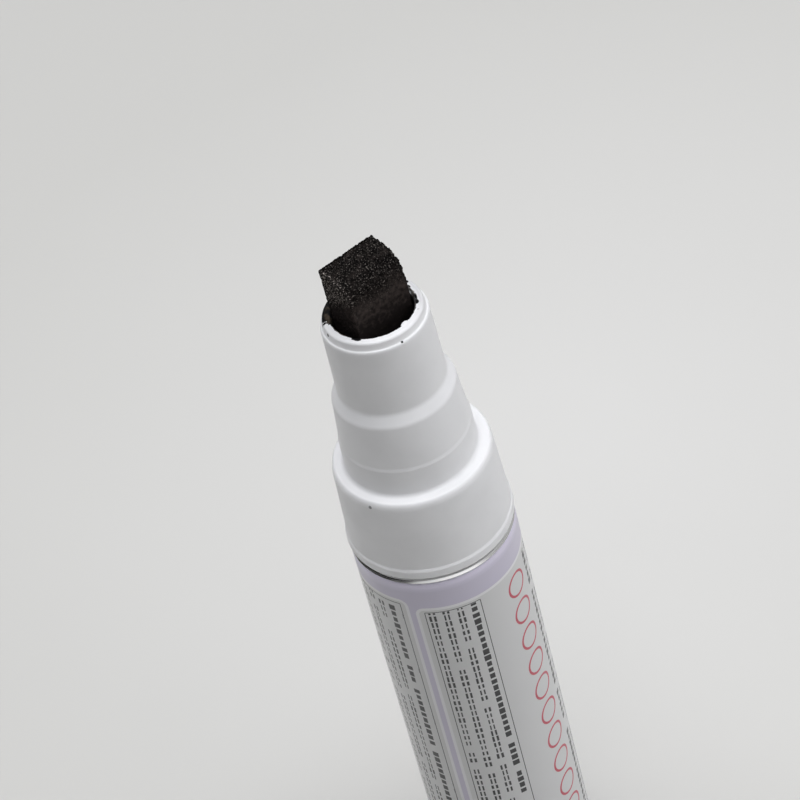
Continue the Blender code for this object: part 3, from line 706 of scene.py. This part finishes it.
def printed_film(colours):
    """Printed film under a clear coat: satin lavender ground, white-edged panels and small plain marks."""
    made, add, place = new_material("printed_film", {
        "Metallic": 0.0, "Roughness": 0.38, "IOR": 1.5, "Coat Weight": 0.25, "Coat Roughness": 0.2,
    })

    # Wraps the print round the can: x becomes the arc and y the drop, both in millimetres
    turned = add("Mapping", {"Vector": place, "Rotation": (0.0, 0.0, LABEL_TURN)})
    parts = add("SeparateXYZ", turned).node.outputs
    front = add("Math", parts["Y"], -1.0, operation="MULTIPLY")
    around = add("Math", parts["X"], front, operation="ARCTAN2")
    arc = add("Math", around, LABEL_HIGH.x * MM, operation="MULTIPLY")
    drop = add("Math", parts["Z"], -MM, LABEL_HIGH.z * MM, operation="MULTIPLY_ADD")
    spot = add("CombineXYZ", arc, drop)

    # Lines of plain marks run down the pen, with gaps between groups
    line = add("Math", arc, LINE_PITCH, operation="DIVIDE")
    step = add("Math", drop, MARK_PITCH, operation="DIVIDE")
    line_no = add("Math", line, operation="FLOOR")
    step_no = add("Math", step, operation="FLOOR")
    cell = add("CombineXYZ", line_no, step_no)
    chance = add("TexWhiteNoise", {"Vector": cell}, noise_dimensions="2D").node.outputs
    size = add("SeparateColor", chance["Color"]).node.outputs
    across = add("Math", line, 0.5, operation="PINGPONG")
    along = add("Math", step, 0.5, operation="PINGPONG")
    narrow = 0.5 - LINE_WEIGHT / LINE_PITCH / 2
    slim = add("MapRange", {0: size["Green"], 3: narrow, 4: narrow + SLIMMER})
    body = add("Math", across, slim, operation="GREATER_THAN")
    short = add("MapRange", {0: size["Blue"], 3: 0.5 - MARK_LENGTH / MARK_PITCH / 2, 4: WIDEST_GAP})
    reach = add("Math", along, short, operation="GREATER_THAN")
    shown = add("Math", chance["Value"], LEFT_OUT, operation="GREATER_THAN")

    # Outside the bold lines a pale core splits each mark into two fine bars
    core = add("Math", across, 0.5 - CORE / LINE_PITCH / 2, operation="LESS_THAN")
    turn_no = add("Math", line_no, BOLD_EVERY, operation="FLOORED_MODULO")
    bold = add("Math", turn_no, BOLD_LINE, 0.5, operation="COMPARE")
    solid = add("Math", core, bold, operation="MAXIMUM")
    marks = body
    for share in (reach, shown, solid):
        marks = add("Math", marks, share, operation="MULTIPLY")

    fleck = add("TexNoise", {"Vector": place, "Scale": pitch(9.0), "Detail": 3.0})
    faded = scaled(colours.ground, 0.93)
    colour = add("Mix", {0: fleck, 6: colours.ground, 7: faded}, data_type="RGBA", out=2)

    # The film's top is painted paler where it is drawn in under the collar: painted light that stands in for
    # the lamps' light on it
    painted_top_light = add("MapRange", drop, *TOP_LIGHT_DROPS, 1.0, 0.0)
    layers = [(painted_top_light, scaled(colours.ground, 1.25))]
    for panel in PANELS:
        edge = panel_distance(add, spot, panel.left, panel.right, panel.top, panel.bottom, PANEL_CORNER)
        white = add("Math", edge, 0.0, operation="LESS_THAN")
        inner = add("Math", edge, -PANEL_BORDER, operation="LESS_THAN")
        rule = panel_distance(
            add, spot, panel.frame_left, panel.frame_right,
            panel.top + FRAME_INSET, panel.bottom - FRAME_INSET, FRAME_LINE)
        off = add("Math", rule, operation="ABSOLUTE")
        ruled = add("Math", off, FRAME_LINE / 2, operation="LESS_THAN")
        within = add("Math", rule, -FRAME_LINE * 0.9, operation="LESS_THAN")
        text = add("Math", marks, within, operation="MULTIPLY")
        dark = add("Math", text, ruled, operation="MAXIMUM")
        layers += [(white, colours.border), (inner, colours.panel), (dark, colours.ink)]

    # Beside the framed lines, a row of plain red rings and two more lines run down the middle panel
    rows = panel_distance(
        add, spot, RING_PLACE[0] - RING_PITCH / 2, PANELS[1].right - FRAME_INSET,
        RING_PLACE[1] - RING_PITCH / 2, RING_PLACE[1] + (RING_COUNT - 0.5) * RING_PITCH, FRAME_LINE)
    listed = add("Math", rows, 0.0, operation="LESS_THAN")
    aside = add("Math", arc, sum(SIDE_LINES) / 2, (SIDE_LINES[1] - SIDE_LINES[0]) / 2, operation="COMPARE")
    text = add("Math", marks, aside, operation="MULTIPLY")
    text = add("Math", text, listed, operation="MULTIPLY")
    sideways = add("Math", arc, RING_PLACE[0], operation="SUBTRACT")
    lengthways = add("Math", drop, RING_PLACE[1], operation="SUBTRACT")
    lengthways = add("Math", lengthways, RING_PITCH / 2, -RING_PITCH / 2, operation="WRAP")
    ring = add("CombineXYZ", sideways, lengthways)
    ring = add("VectorMath", ring, operation="LENGTH", out="Value")
    ring = add("Math", ring, RING_RADIUS, RING_LINE / 2, operation="COMPARE")
    ring = add("Math", ring, listed, operation="MULTIPLY")
    for mask, ink in (*layers, (text, colours.ink), (ring, colours.red)):
        colour = add("Mix", {0: mask, 6: colour, 7: ink}, data_type="RGBA", out=2)

    gloss = add("MapRange", fleck, 0.3, 0.7, 0.32, 0.44)
    ripple = add("TexNoise", {"Vector": place, "Scale": pitch(2.2), "Detail": 2.0})
    bump = add("Bump", {"Strength": 0.12, "Distance": 0.0001, "Height": ripple})
    return finished(made, {"Base Color": colour, "Roughness": gloss, "Normal": bump})


class PAINT_PEN_OT_can(bpy.types.Operator):
    """Turns the drawn can with its dished base and rolled rim"""

    bl_idname = "paint_pen.can"
    bl_label = "Can"

    def execute(self, context):
        sizes = context.scene.pen_sizes
        rings = 10
        radii = [sizes.dish_radius * k / rings for k in range(rings + 1)]
        dish = [(r, sizes.dish_depth * (1 - (r / sizes.dish_radius) ** 2)) for r in radii]
        bore = sizes.can_radius - sizes.can_wall
        hem = CAN_TOP_Z - sizes.can_wall * 0.6
        walls = [
            (sizes.can_radius, 0.0, sizes.can_corner),
            (sizes.can_radius, CAN_TOP_Z - sizes.rim_height, 0.0),
            (RIM_RADIUS, CAN_TOP_Z - sizes.rim_height, sizes.rim_face / 10),
            (sizes.can_radius, CAN_TOP_Z - sizes.rim_height + sizes.rim_face, sizes.edge_round / 2),
            (bore + sizes.can_wall / 10, hem, 0.0),
            (bore, hem, 0.0),
            (bore, sizes.can_floor, sizes.can_corner - sizes.can_wall),
        ]
        corners = [(r, z, 0.0) for r, z in dish] + walls
        corners += [(r, z + sizes.can_floor, 0.0) for r, z in reversed(dish)]
        can = turned_piece("can", rounded(corners), closed=False)
        smooth(can)
        stand_for(can, "barrel", "pen_body", drawn_aluminium(context.scene.pen_colours))
        return {"FINISHED"}


class PAINT_PEN_OT_label(bpy.types.Operator):
    """Turns the label film and raises its overlapped seam"""

    bl_idname = "paint_pen.label"
    bl_label = "Label"

    def execute(self, context):
        sizes = context.scene.pen_sizes
        inside = sizes.can_radius + (LABEL_HIGH.x - sizes.can_radius) / 6
        film = (LABEL_HIGH.x - inside) * 0.2
        outline = rounded([
            (LABEL_HIGH.x, LABEL_LOW.z, film),
            (LABEL_HIGH.x, LABEL_HIGH.z - sizes.pull_height, sizes.pull_height * 2),
            (LABEL_HIGH.x - sizes.pull, LABEL_HIGH.z, film / 2),
            (inside, LABEL_HIGH.z, 0.0),
            (inside, LABEL_LOW.z, 0.0),
        ])
        label = turned_piece("label_film", outline)
        half = sizes.seam_width / LABEL_HIGH.x / 2
        back = math.pi - LABEL_TURN - half

        def on_seam(centre, normal):
            away = math.atan2(centre.x, -centre.y) - back
            away = math.atan2(math.sin(away), math.cos(away))
            outward = normal.x * centre.x + normal.y * centre.y > 0.5 * math.hypot(centre.x, centre.y)
            return abs(away) < half and outward

        pick_faces(label, on_seam)
        bpy.ops.mesh.extrude_region_shrink_fatten(TRANSFORM_OT_shrink_fatten={"value": sizes.seam_step})
        bpy.ops.object.mode_set(mode="OBJECT")
        smooth(label)
        stand_for(label, "label", "pen_body", printed_film(context.scene.pen_colours))
        return {"FINISHED"}


# Soft edges of the nib holder, in millimetres: out from a radius, up from a height, and the fillet
LIP_EDGE = (
    (-0.05, 0.0, 0.5), (0.12, -0.85, 0.5), (0.19, -1.12, 0.3), (0.28, -1.32, 0.2), (0.46, -1.42, 0.2),
    (0.56, -1.62, 0.2), (0.61, -1.85, 0.2), (0.63, -2.2, 0.4), (0.64, -2.8, 1.5), (0.645, -3.4, 4.0),
)
COLLAR_EDGE = ((-0.45, 0.0, 0.4), (-0.17, -0.40, 0.8), (0.0, -0.98, 2.0), (0.045, -1.5, 5.0))
FOOT_EDGE = ((-0.30, -0.20, 0.4), (-0.03, -0.66, 0.4))

# A burr on the lip's inner edge: half sizes along the lip, across it and upright
BURR_SIDE, BURR_RADIUS, BURR_DROP = 38.5, 6.62, 0.32
BURR_SIZE = (0.75, 0.42, 0.32)


def edge_corners(radius, height, edge):
    """Corners of a soft edge at its place in an outline."""
    return [(radius + out / MM, height + up / MM, fillet / MM) for out, up, fillet in edge]


class PAINT_PEN_OT_nib_holder(bpy.types.Operator):
    """Turns the stepped nib holder and joins the ribs that guide the nib"""

    bl_idname = "paint_pen.nib_holder"
    bl_label = "Nib holder"

    def execute(self, context):
        sizes = context.scene.pen_sizes
        edge, root = sizes.edge_round, sizes.root_round
        nozzle_top = MOUTH_Z - sizes.lip_height
        nozzle_foot = nozzle_top - sizes.nozzle_height
        neck_top = nozzle_foot - sizes.shoulder_height
        collar_top = neck_top - sizes.neck_height
        collar_foot = collar_top - sizes.collar_height
        lip_top = collar_foot + sizes.collar_lip_height
        step = collar_top + sizes.neck_step_height
        skirt = sizes.can_radius - sizes.can_wall - sizes.fit
        bore = SEAT_HIGH.x + sizes.fit
        roof = collar_top - sizes.roof
        groove = skirt - sizes.groove_depth
        groove_top = SEAL_HIGH.z + sizes.fit
        groove_foot = SEAL_LOW.z - sizes.fit
        chamber = SEAT_HIGH.z + sizes.fit
        snap = SEAT_LOW.z - sizes.snap_drop
        inlet = sizes.mouth_radius - sizes.mouth_bead
        holder = turned_piece("nib_holder_moulding", rounded([
            (inlet, MOUTH_Z, edge / 2),
            *edge_corners(sizes.lip_radius, MOUTH_Z, LIP_EDGE),
            (sizes.nozzle_foot_radius, nozzle_foot, sizes.shoulder_round),
            (sizes.neck_top_radius, neck_top, sizes.shoulder_round),
            (sizes.neck_step_radius, step + sizes.neck_step_rise / 2, edge),
            (sizes.neck_step_radius + sizes.neck_step, step - sizes.neck_step_rise / 2, edge),
            (sizes.neck_foot_radius, collar_top, root),
            *edge_corners(sizes.collar_top_radius, collar_top, COLLAR_EDGE),
            *edge_corners(sizes.collar_lip_radius, lip_top, FOOT_EDGE),
            (sizes.collar_lip_radius, collar_foot, edge),
            (skirt, collar_foot, 0.0),
            (skirt, groove_top, 0.0),
            (groove, groove_top, 0.0),
            (groove, groove_foot, 0.0),
            (skirt, groove_foot, 0.0),
            (skirt, SKIRT_END_Z, edge),
            (skirt - sizes.skirt_wall, SKIRT_END_Z, edge),
            (skirt - sizes.skirt_wall, roof, root),
            (bore, roof, edge),
            (bore, snap - sizes.snap_height, 0.0),
            (bore - sizes.snap_bead, snap, 0.0),
            (bore, snap, 0.0),
            (bore, chamber, 0.0),
            (sizes.mouth_radius, chamber, 0.0),
            (sizes.mouth_radius, MOUTH_Z - root * 2, 0.0),
            (inlet - sizes.mouth_funnel, MOUTH_Z - root, 0.0),
        ]))
        half = sizes.rib_thickness / 2
        foot = NIB_LOW.z + sizes.rib_lift
        top = foot + sizes.rib_length
        sink = root * 0.7
        narrow = (NIB_HIGH.x + sizes.fit, sizes.mouth_radius + sink)
        broad = (NIB_HIGH.y + sizes.fit, math.sqrt(sizes.mouth_radius ** 2 - sizes.rib_spread ** 2) + sink)
        ribs = [block("rib", (narrow[0], -half, foot), (narrow[1], half, top))]
        for x in (-sizes.rib_spread, sizes.rib_spread):
            ribs.append(block("rib", (x - half, broad[0], foot), (x + half, broad[1], top)))
        for rib in list(ribs):
            select_only(rib)
            bpy.ops.object.duplicate()
            bpy.ops.transform.rotate(value=math.pi, orient_axis="Z", center_override=(0, 0, 0))
            bpy.ops.object.transform_apply(location=True, rotation=True, scale=True)
            ribs.append(bpy.context.object)
        select_only()
        bpy.ops.mesh.primitive_uv_sphere_add(
            segments=24, ring_count=12, radius=1.0, scale=[part / MM for part in BURR_SIZE],
            location=facing(BURR_SIDE, BURR_RADIUS / MM, MOUTH_Z - BURR_DROP / MM),
            rotation=(0.0, 0.0, bearing(BURR_SIDE)))
        ribs.append(named("burr"))
        for rib in ribs:
            union = holder.modifiers.new("Rib", "BOOLEAN")
            union.operation = "UNION"
            union.object = rib
        apply_modifiers(holder)
        for rib in ribs:
            bpy.data.objects.remove(rib)
        smooth(holder)
        finish = white_polypropylene(context.scene.pen_colours, sizes)
        stand_for(holder, "nib_holder", "pen_body", finish)
        return {"FINISHED"}


# Felt mesh: its voxels and the depth below which its hidden part is thinned, in metres, and to what ratio
FELT_VOXEL = 0.00011
HIDDEN_DEPTH, HIDDEN_RATIO = 0.004, 0.6
# How far down the broad sides the grain reaches, in skin drops, and how squarely a narrow side faces along X
GRAIN_REACH, NARROW_FACING = 1.4, 0.6


class PAINT_PEN_OT_nib(bpy.types.Operator):
    """Cuts the felt nib to its broad edge and gives its faces their pores"""

    bl_idname = "paint_pen.nib"
    bl_label = "Nib"

    def execute(self, context):
        sizes = context.scene.pen_sizes
        planes = cut_planes(sizes)
        swell = Vector((sizes.nib_spread, sizes.nib_swell, 0.0))
        aside = Vector((-sizes.nib_offset, 0.0, 0.0))
        spare = Vector((0.0, 0.0, sizes.nib_soft))
        nib = block("felt_nib", NIB_LOW - swell + aside, NIB_HIGH + swell + aside + spare)
        select_only(nib)
        bpy.ops.object.mode_set(mode="EDIT")
        for point, normal in planes:
            bpy.ops.mesh.select_all(action="SELECT")
            bpy.ops.mesh.bisect(
                plane_co=point, plane_no=normal, use_fill=True, clear_outer=True, threshold=WELD)
        bpy.ops.mesh.select_mode(type="EDGE")
        bpy.ops.mesh.select_all(action="DESELECT")
        bpy.ops.object.mode_set(mode="OBJECT")
        spots = nib.data.vertices
        for edge in nib.data.edges:
            start, end = (spots[k].co for k in edge.vertices)
            across = abs(start.x - end.x) > NIB_HIGH.x
            edge.select = across and start.y < NIB_HIGH.y and start.z > MOUTH_Z
        bpy.ops.object.mode_set(mode="EDIT")
        bpy.ops.mesh.bevel(offset=sizes.nib_soft, segments=5)
        bpy.ops.mesh.select_all(action="DESELECT")
        bpy.ops.mesh.edges_select_sharp(sharpness=SMOOTH_ANGLE)
        bpy.ops.mesh.bevel(offset=sizes.nib_edge, segments=3)
        bpy.ops.object.mode_set(mode="OBJECT")
        remesh = nib.modifiers.new("Felt", "REMESH")
        remesh.mode = "VOXEL"
        remesh.voxel_size = FELT_VOXEL
        apply_modifiers(nib)

        cut = nib.vertex_groups.new(name="cut_faces")
        skin = nib.vertex_groups.new(name="broad_sides")
        inside = nib.vertex_groups.new(name="inside_holder")
        for vertex in nib.data.vertices:
            below = max((vertex.co - point).dot(normal) for point, normal in planes)
            share = max(0.0, min(1.0, GRAIN_REACH + below / sizes.skin_drop))
            if abs(vertex.normal.x) > NARROW_FACING:
                share = 1.0
            cut.add([vertex.index], share, "REPLACE")
            skin.add([vertex.index], 1.0 - share, "REPLACE")
            inside.add([vertex.index], 1.0 if vertex.co.z < MOUTH_Z - HIDDEN_DEPTH else 0.0, "REPLACE")
        for group, kind, scale, depth in (
            ("cut_faces", "VORONOI", sizes.grain_size, sizes.grain_depth),
            ("cut_faces", "VORONOI", sizes.fine_size, sizes.fine_depth),
            ("cut_faces", "CLOUDS", sizes.wear_size, sizes.wear_depth),
            ("broad_sides", "CLOUDS", sizes.grain_size * 1.5, sizes.pile_depth),
            ("broad_sides", "CLOUDS", sizes.wear_size, sizes.wear_depth),
        ):
            texture = bpy.data.textures.new(f"felt_{group}", kind)
            texture.noise_scale = scale
            pores = nib.modifiers.new(group, "DISPLACE")
            pores.texture = texture
            pores.texture_coords = "LOCAL"
            pores.vertex_group = group
            pores.strength = -depth
            pores.mid_level = 0.0
        thin = nib.modifiers.new("Hidden part", "DECIMATE")
        thin.ratio = HIDDEN_RATIO
        thin.vertex_group = "inside_holder"
        apply_modifiers(nib)
        nib.vertex_groups.clear()
        smooth(nib)
        finish = painted_felt(context.scene.pen_colours, sizes)
        stand_for(nib, "nib", "nib_plunger", finish)
        return {"FINISHED"}


class PAINT_PEN_OT_valve(bpy.types.Operator):
    """Gives the valve's own solids their plastic and rubber"""

    bl_idname = "paint_pen.valve"
    bl_label = "Valve and seals"

    def execute(self, context):
        colours = context.scene.pen_colours
        plastic, rubber = natural_plastic(colours), nitrile_rubber(colours)
        for node, material in (
            ("valve_seat", plastic), ("valve_stem", plastic), ("valve_cage", plastic),
            ("barrel_seal", rubber), ("seat_washer", rubber),
        ):
            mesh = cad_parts[node].data
            mesh.materials.clear()
            mesh.materials.append(material)
        return {"FINISHED"}


class PAINT_PEN_OT_spring(bpy.types.Operator):
    """Winds the valve spring from round wire"""

    bl_idname = "paint_pen.spring"
    bl_label = "Valve spring"

    def execute(self, context):
        sizes = context.scene.pen_sizes
        wire = sizes.spring_wire / 2
        coil = SPRING_HIGH.x - wire
        turns, steps = 7, 36
        select_only()
        bpy.ops.mesh.primitive_circle_add(
            vertices=14, radius=wire, rotation=(math.pi / 2, 0.0, 0.0),
            location=(coil, 0.0, SPRING_LOW.z + wire))
        spring = named("spring_coil")
        bpy.ops.object.transform_apply(location=True, rotation=True, scale=True)
        wind = spring.modifiers.new("Wind", "SCREW")
        wind.angle = math.tau
        wind.iterations = turns
        wind.steps = steps
        wind.render_steps = steps
        wind.screw_offset = (SPRING_HIGH.z - SPRING_LOW.z - 2 * wire) / turns
        apply_modifiers(spring)
        bpy.ops.object.mode_set(mode="EDIT")
        bpy.ops.mesh.select_all(action="SELECT")
        bpy.ops.mesh.fill_holes(sides=0)
        bpy.ops.mesh.normals_make_consistent(inside=False)
        bpy.ops.object.mode_set(mode="OBJECT")
        smooth(spring)
        stand_for(spring, "valve_spring", "pen_body", bright_steel(context.scene.pen_colours))
        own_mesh(spring)
        return {"FINISHED"}


class PAINT_PEN_OT_balls(bpy.types.Operator):
    """Rounds the two agitator balls from cubes"""

    bl_idname = "paint_pen.balls"
    bl_label = "Agitator balls"

    def execute(self, context):
        steel = bright_steel(context.scene.pen_colours)
        for number in (1, 2):
            node = f"agitator_ball_{number}"
            low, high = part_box(node)
            middle, radius = (low + high) / 2, (high.z - low.z) / 2
            ball = block(f"stirring_ball_{number}", low, high)
            bpy.ops.object.mode_set(mode="EDIT")
            bpy.ops.mesh.select_all(action="SELECT")
            bpy.ops.mesh.subdivide(number_cuts=11)
            bpy.ops.transform.tosphere(value=1.0, center_override=middle)
            bpy.ops.object.mode_set(mode="OBJECT")
            for vertex in ball.data.vertices:
                vertex.co = middle + (vertex.co - middle).normalized() * radius
            smooth(ball)
            stand_for(ball, node, f"ball_{number}", steel)
        return {"FINISHED"}


def seen_rays(add):
    """One for the rays that show a surface as it looks, and zero for those that only carry its light."""
    path = add("LightPath").node.outputs
    seen = add("Math", path["Is Camera Ray"], path["Is Glossy Ray"], operation="MAXIMUM")
    return add("Math", seen, path["Is Transmission Ray"], operation="MAXIMUM")


# Lamps: the turn from the camera's side and the height, in degrees, and the share of the height they aim at
LAMPS = {
    "top": (0.0, 90.0), "high": (30.0, 60.0), "side": (90.0, 30.0),
    "front": (60.0, 20.0), "left": (-110.0, 10.0), "back": (-150.0, 10.0),
}
LAMP_AIM = 0.75

# The floor in metres: the middle of the pool of light painted into its colour, as seen from the camera's
# side, the range of that painted fall-off, its mottle
FLOOR_LIGHT_POOL, FLOOR_RANGE, FLOOR_MOTTLE = Vector((0.030, 0.110, 0.0)), (0.02, 0.16), 0.02

# The room in reflections: directions, and cosines of the angles over which it changes
ROOM_LEFT, ROOM_RANGE = Vector((-1.0, 0.0, 0.0)), (-0.4, 0.3)
WALL_SIDE, WALL_RANGE = Vector((0.035, -0.999, 0.0)), (0.54, 0.70)


class PAINT_PEN_OT_stage(bpy.types.Operator):
    """Sets the camera, the soft light and the pale floor"""

    bl_idname = "paint_pen.stage"
    bl_label = "Stage"

    def execute(self, context):
        scene = context.scene
        stage, colours = scene.pen_stage, scene.pen_colours
        scene.view_settings.view_transform = "Standard"
        spin = Matrix.Rotation(-stage.azimuth, 3, "Z")
        right = Vector((1.0, 0.0, 0.0))
        up = Vector((0.0, math.sin(stage.elevation), math.cos(stage.elevation)))
        ahead = Vector((0.0, math.cos(stage.elevation), -math.sin(stage.elevation)))
        across = math.cos(stage.roll) * right + math.sin(stage.roll) * up
        above = -math.sin(stage.roll) * right + math.cos(stage.roll) * up
        scale = stage.distance * SENSOR / stage.focal / PICTURE
        mouth = across * (stage.mouth_u - PICTURE / 2) * scale
        mouth -= above * (stage.mouth_v - PICTURE / 2) * scale
        mouth += ahead * stage.distance
        select_only()
        bpy.ops.object.camera_add()
        camera = named("camera")
        camera.data.lens = stage.focal
        camera.data.sensor_width = SENSOR
        camera.data.clip_start = 0.01
        axes = Matrix((spin @ across, spin @ above, spin @ -ahead)).transposed().to_4x4()
        axes.translation = Vector((0.0, 0.0, MOUTH_Z)) - spin @ mouth
        camera.matrix_world = axes
        scene.camera = camera

        bpy.ops.mesh.primitive_plane_add(size=stage.floor_size)
        floor = named("floor")
        made, add, place = new_material("pale_board", {
            "Metallic": 0.0, "Roughness": 0.75, "IOR": 1.5, "Specular IOR Level": 0.2,
        })
        # The floor's colour is painted lighter round one spot and darker further out: a painted pool of light
        away = add("VectorMath", place, spin @ FLOOR_LIGHT_POOL, operation="DISTANCE", out="Value")
        mottle = add("TexNoise", {"Vector": place, "Scale": pitch(60.0), "Detail": 2.0})
        away = add("Math", mottle, FLOOR_MOTTLE, away, operation="MULTIPLY_ADD")
        away = add("MapRange", away, *FLOOR_RANGE)
        colour = add("Mix", {0: away, 6: colours.floor, 7: colours.floor_far}, data_type="RGBA", out=2)
        colour = add("Mix", {0: seen_rays(add), 6: colours.floor_bounce, 7: colour}, data_type="RGBA", out=2)
        floor.data.materials.append(finished(made, {"Base Color": colour}))

        for name, (turned, height) in LAMPS.items():
            height = math.radians(height)
            towards = facing(turned, math.cos(height), math.sin(height))
            middle = Vector((0.0, 0.0, MOUTH_Z * LAMP_AIM))
            bpy.ops.object.light_add(type="AREA", location=middle + towards * stage.lamp_distance)
            lamp = named(name + "_lamp")
            lamp.data.shape = "SQUARE"
            lamp.data.size = stage.lamp_size
            lamp.data.energy = getattr(stage, name + "_power")
            lamp.data.color = colours.lamp[:3]
            lamp.visible_glossy = name == "top"
            lamp.rotation_mode = "QUATERNION"
            lamp.rotation_quaternion = towards.to_track_quat("Z", "Y")

        world = scene.world or bpy.data.worlds.new("surroundings")
        scene.world = world
        world.use_nodes = True
        tree = world.node_tree
        tree.nodes.clear()
        add = partial(add_node, tree)
        # Reflections see a bright wall behind the camera, a dim room on the left and a paler one on the right
        heading = add("TexCoord", out="Generated")
        left = add("VectorMath", heading, spin @ ROOM_LEFT, operation="DOT_PRODUCT", out="Value")
        room = add("MapRange", left, *ROOM_RANGE, stage.pale, stage.dim)
        front = add("VectorMath", heading, spin @ WALL_SIDE, operation="DOT_PRODUCT", out="Value")
        wall = add("MapRange", front, *WALL_RANGE, 0.0, stage.wall)
        room = add("Math", room, wall, operation="ADD")
        direct = add("LightPath", out="Is Camera Ray")
        room = add("Mix", {0: direct, 2: room, 3: 1.0})
        strength = add("Mix", {0: seen_rays(add), 2: stage.fill, 3: room})
        light = add("Background", {"Color": colours.backdrop, "Strength": strength})
        output = tree.nodes.new("ShaderNodeOutputWorld")
        tree.links.new(light, output.inputs["Surface"])
        return {"FINISHED"}


PIECES = (
    PAINT_PEN_OT_can,
    PAINT_PEN_OT_label,
    PAINT_PEN_OT_nib_holder,
    PAINT_PEN_OT_nib,
    PAINT_PEN_OT_valve,
    PAINT_PEN_OT_spring,
    PAINT_PEN_OT_balls,
    PAINT_PEN_OT_stage,
)


class PAINT_PEN_PT_sidebar(bpy.types.Panel):
    """Lists the pen's pieces and its stage"""

    bl_idname = "PAINT_PEN_PT_sidebar"
    bl_label = "Paint pen"
    bl_space_type = "VIEW_3D"
    bl_region_type = "UI"
    bl_category = "Paint pen"

    def draw(self, context):
        for made in PIECES:
            self.layout.operator(made.bl_idname)


CLASSES = (PenSizes, PenColours, StageSettings, *PIECES, PAINT_PEN_PT_sidebar)


def register():
    for made in CLASSES:
        bpy.utils.register_class(made)
    bpy.types.Scene.pen_sizes = PointerProperty(type=PenSizes)
    bpy.types.Scene.pen_colours = PointerProperty(type=PenColours)
    bpy.types.Scene.pen_stage = PointerProperty(type=StageSettings)


def unregister():
    del bpy.types.Scene.pen_stage
    del bpy.types.Scene.pen_colours
    del bpy.types.Scene.pen_sizes
    for made in reversed(CLASSES):
        bpy.utils.unregister_class(made)


def main():
    register()
    for made in PIECES:
        group, name = made.bl_idname.split(".")
        getattr(getattr(bpy.ops, group), name)()


if __name__ == "__main__":
    main()
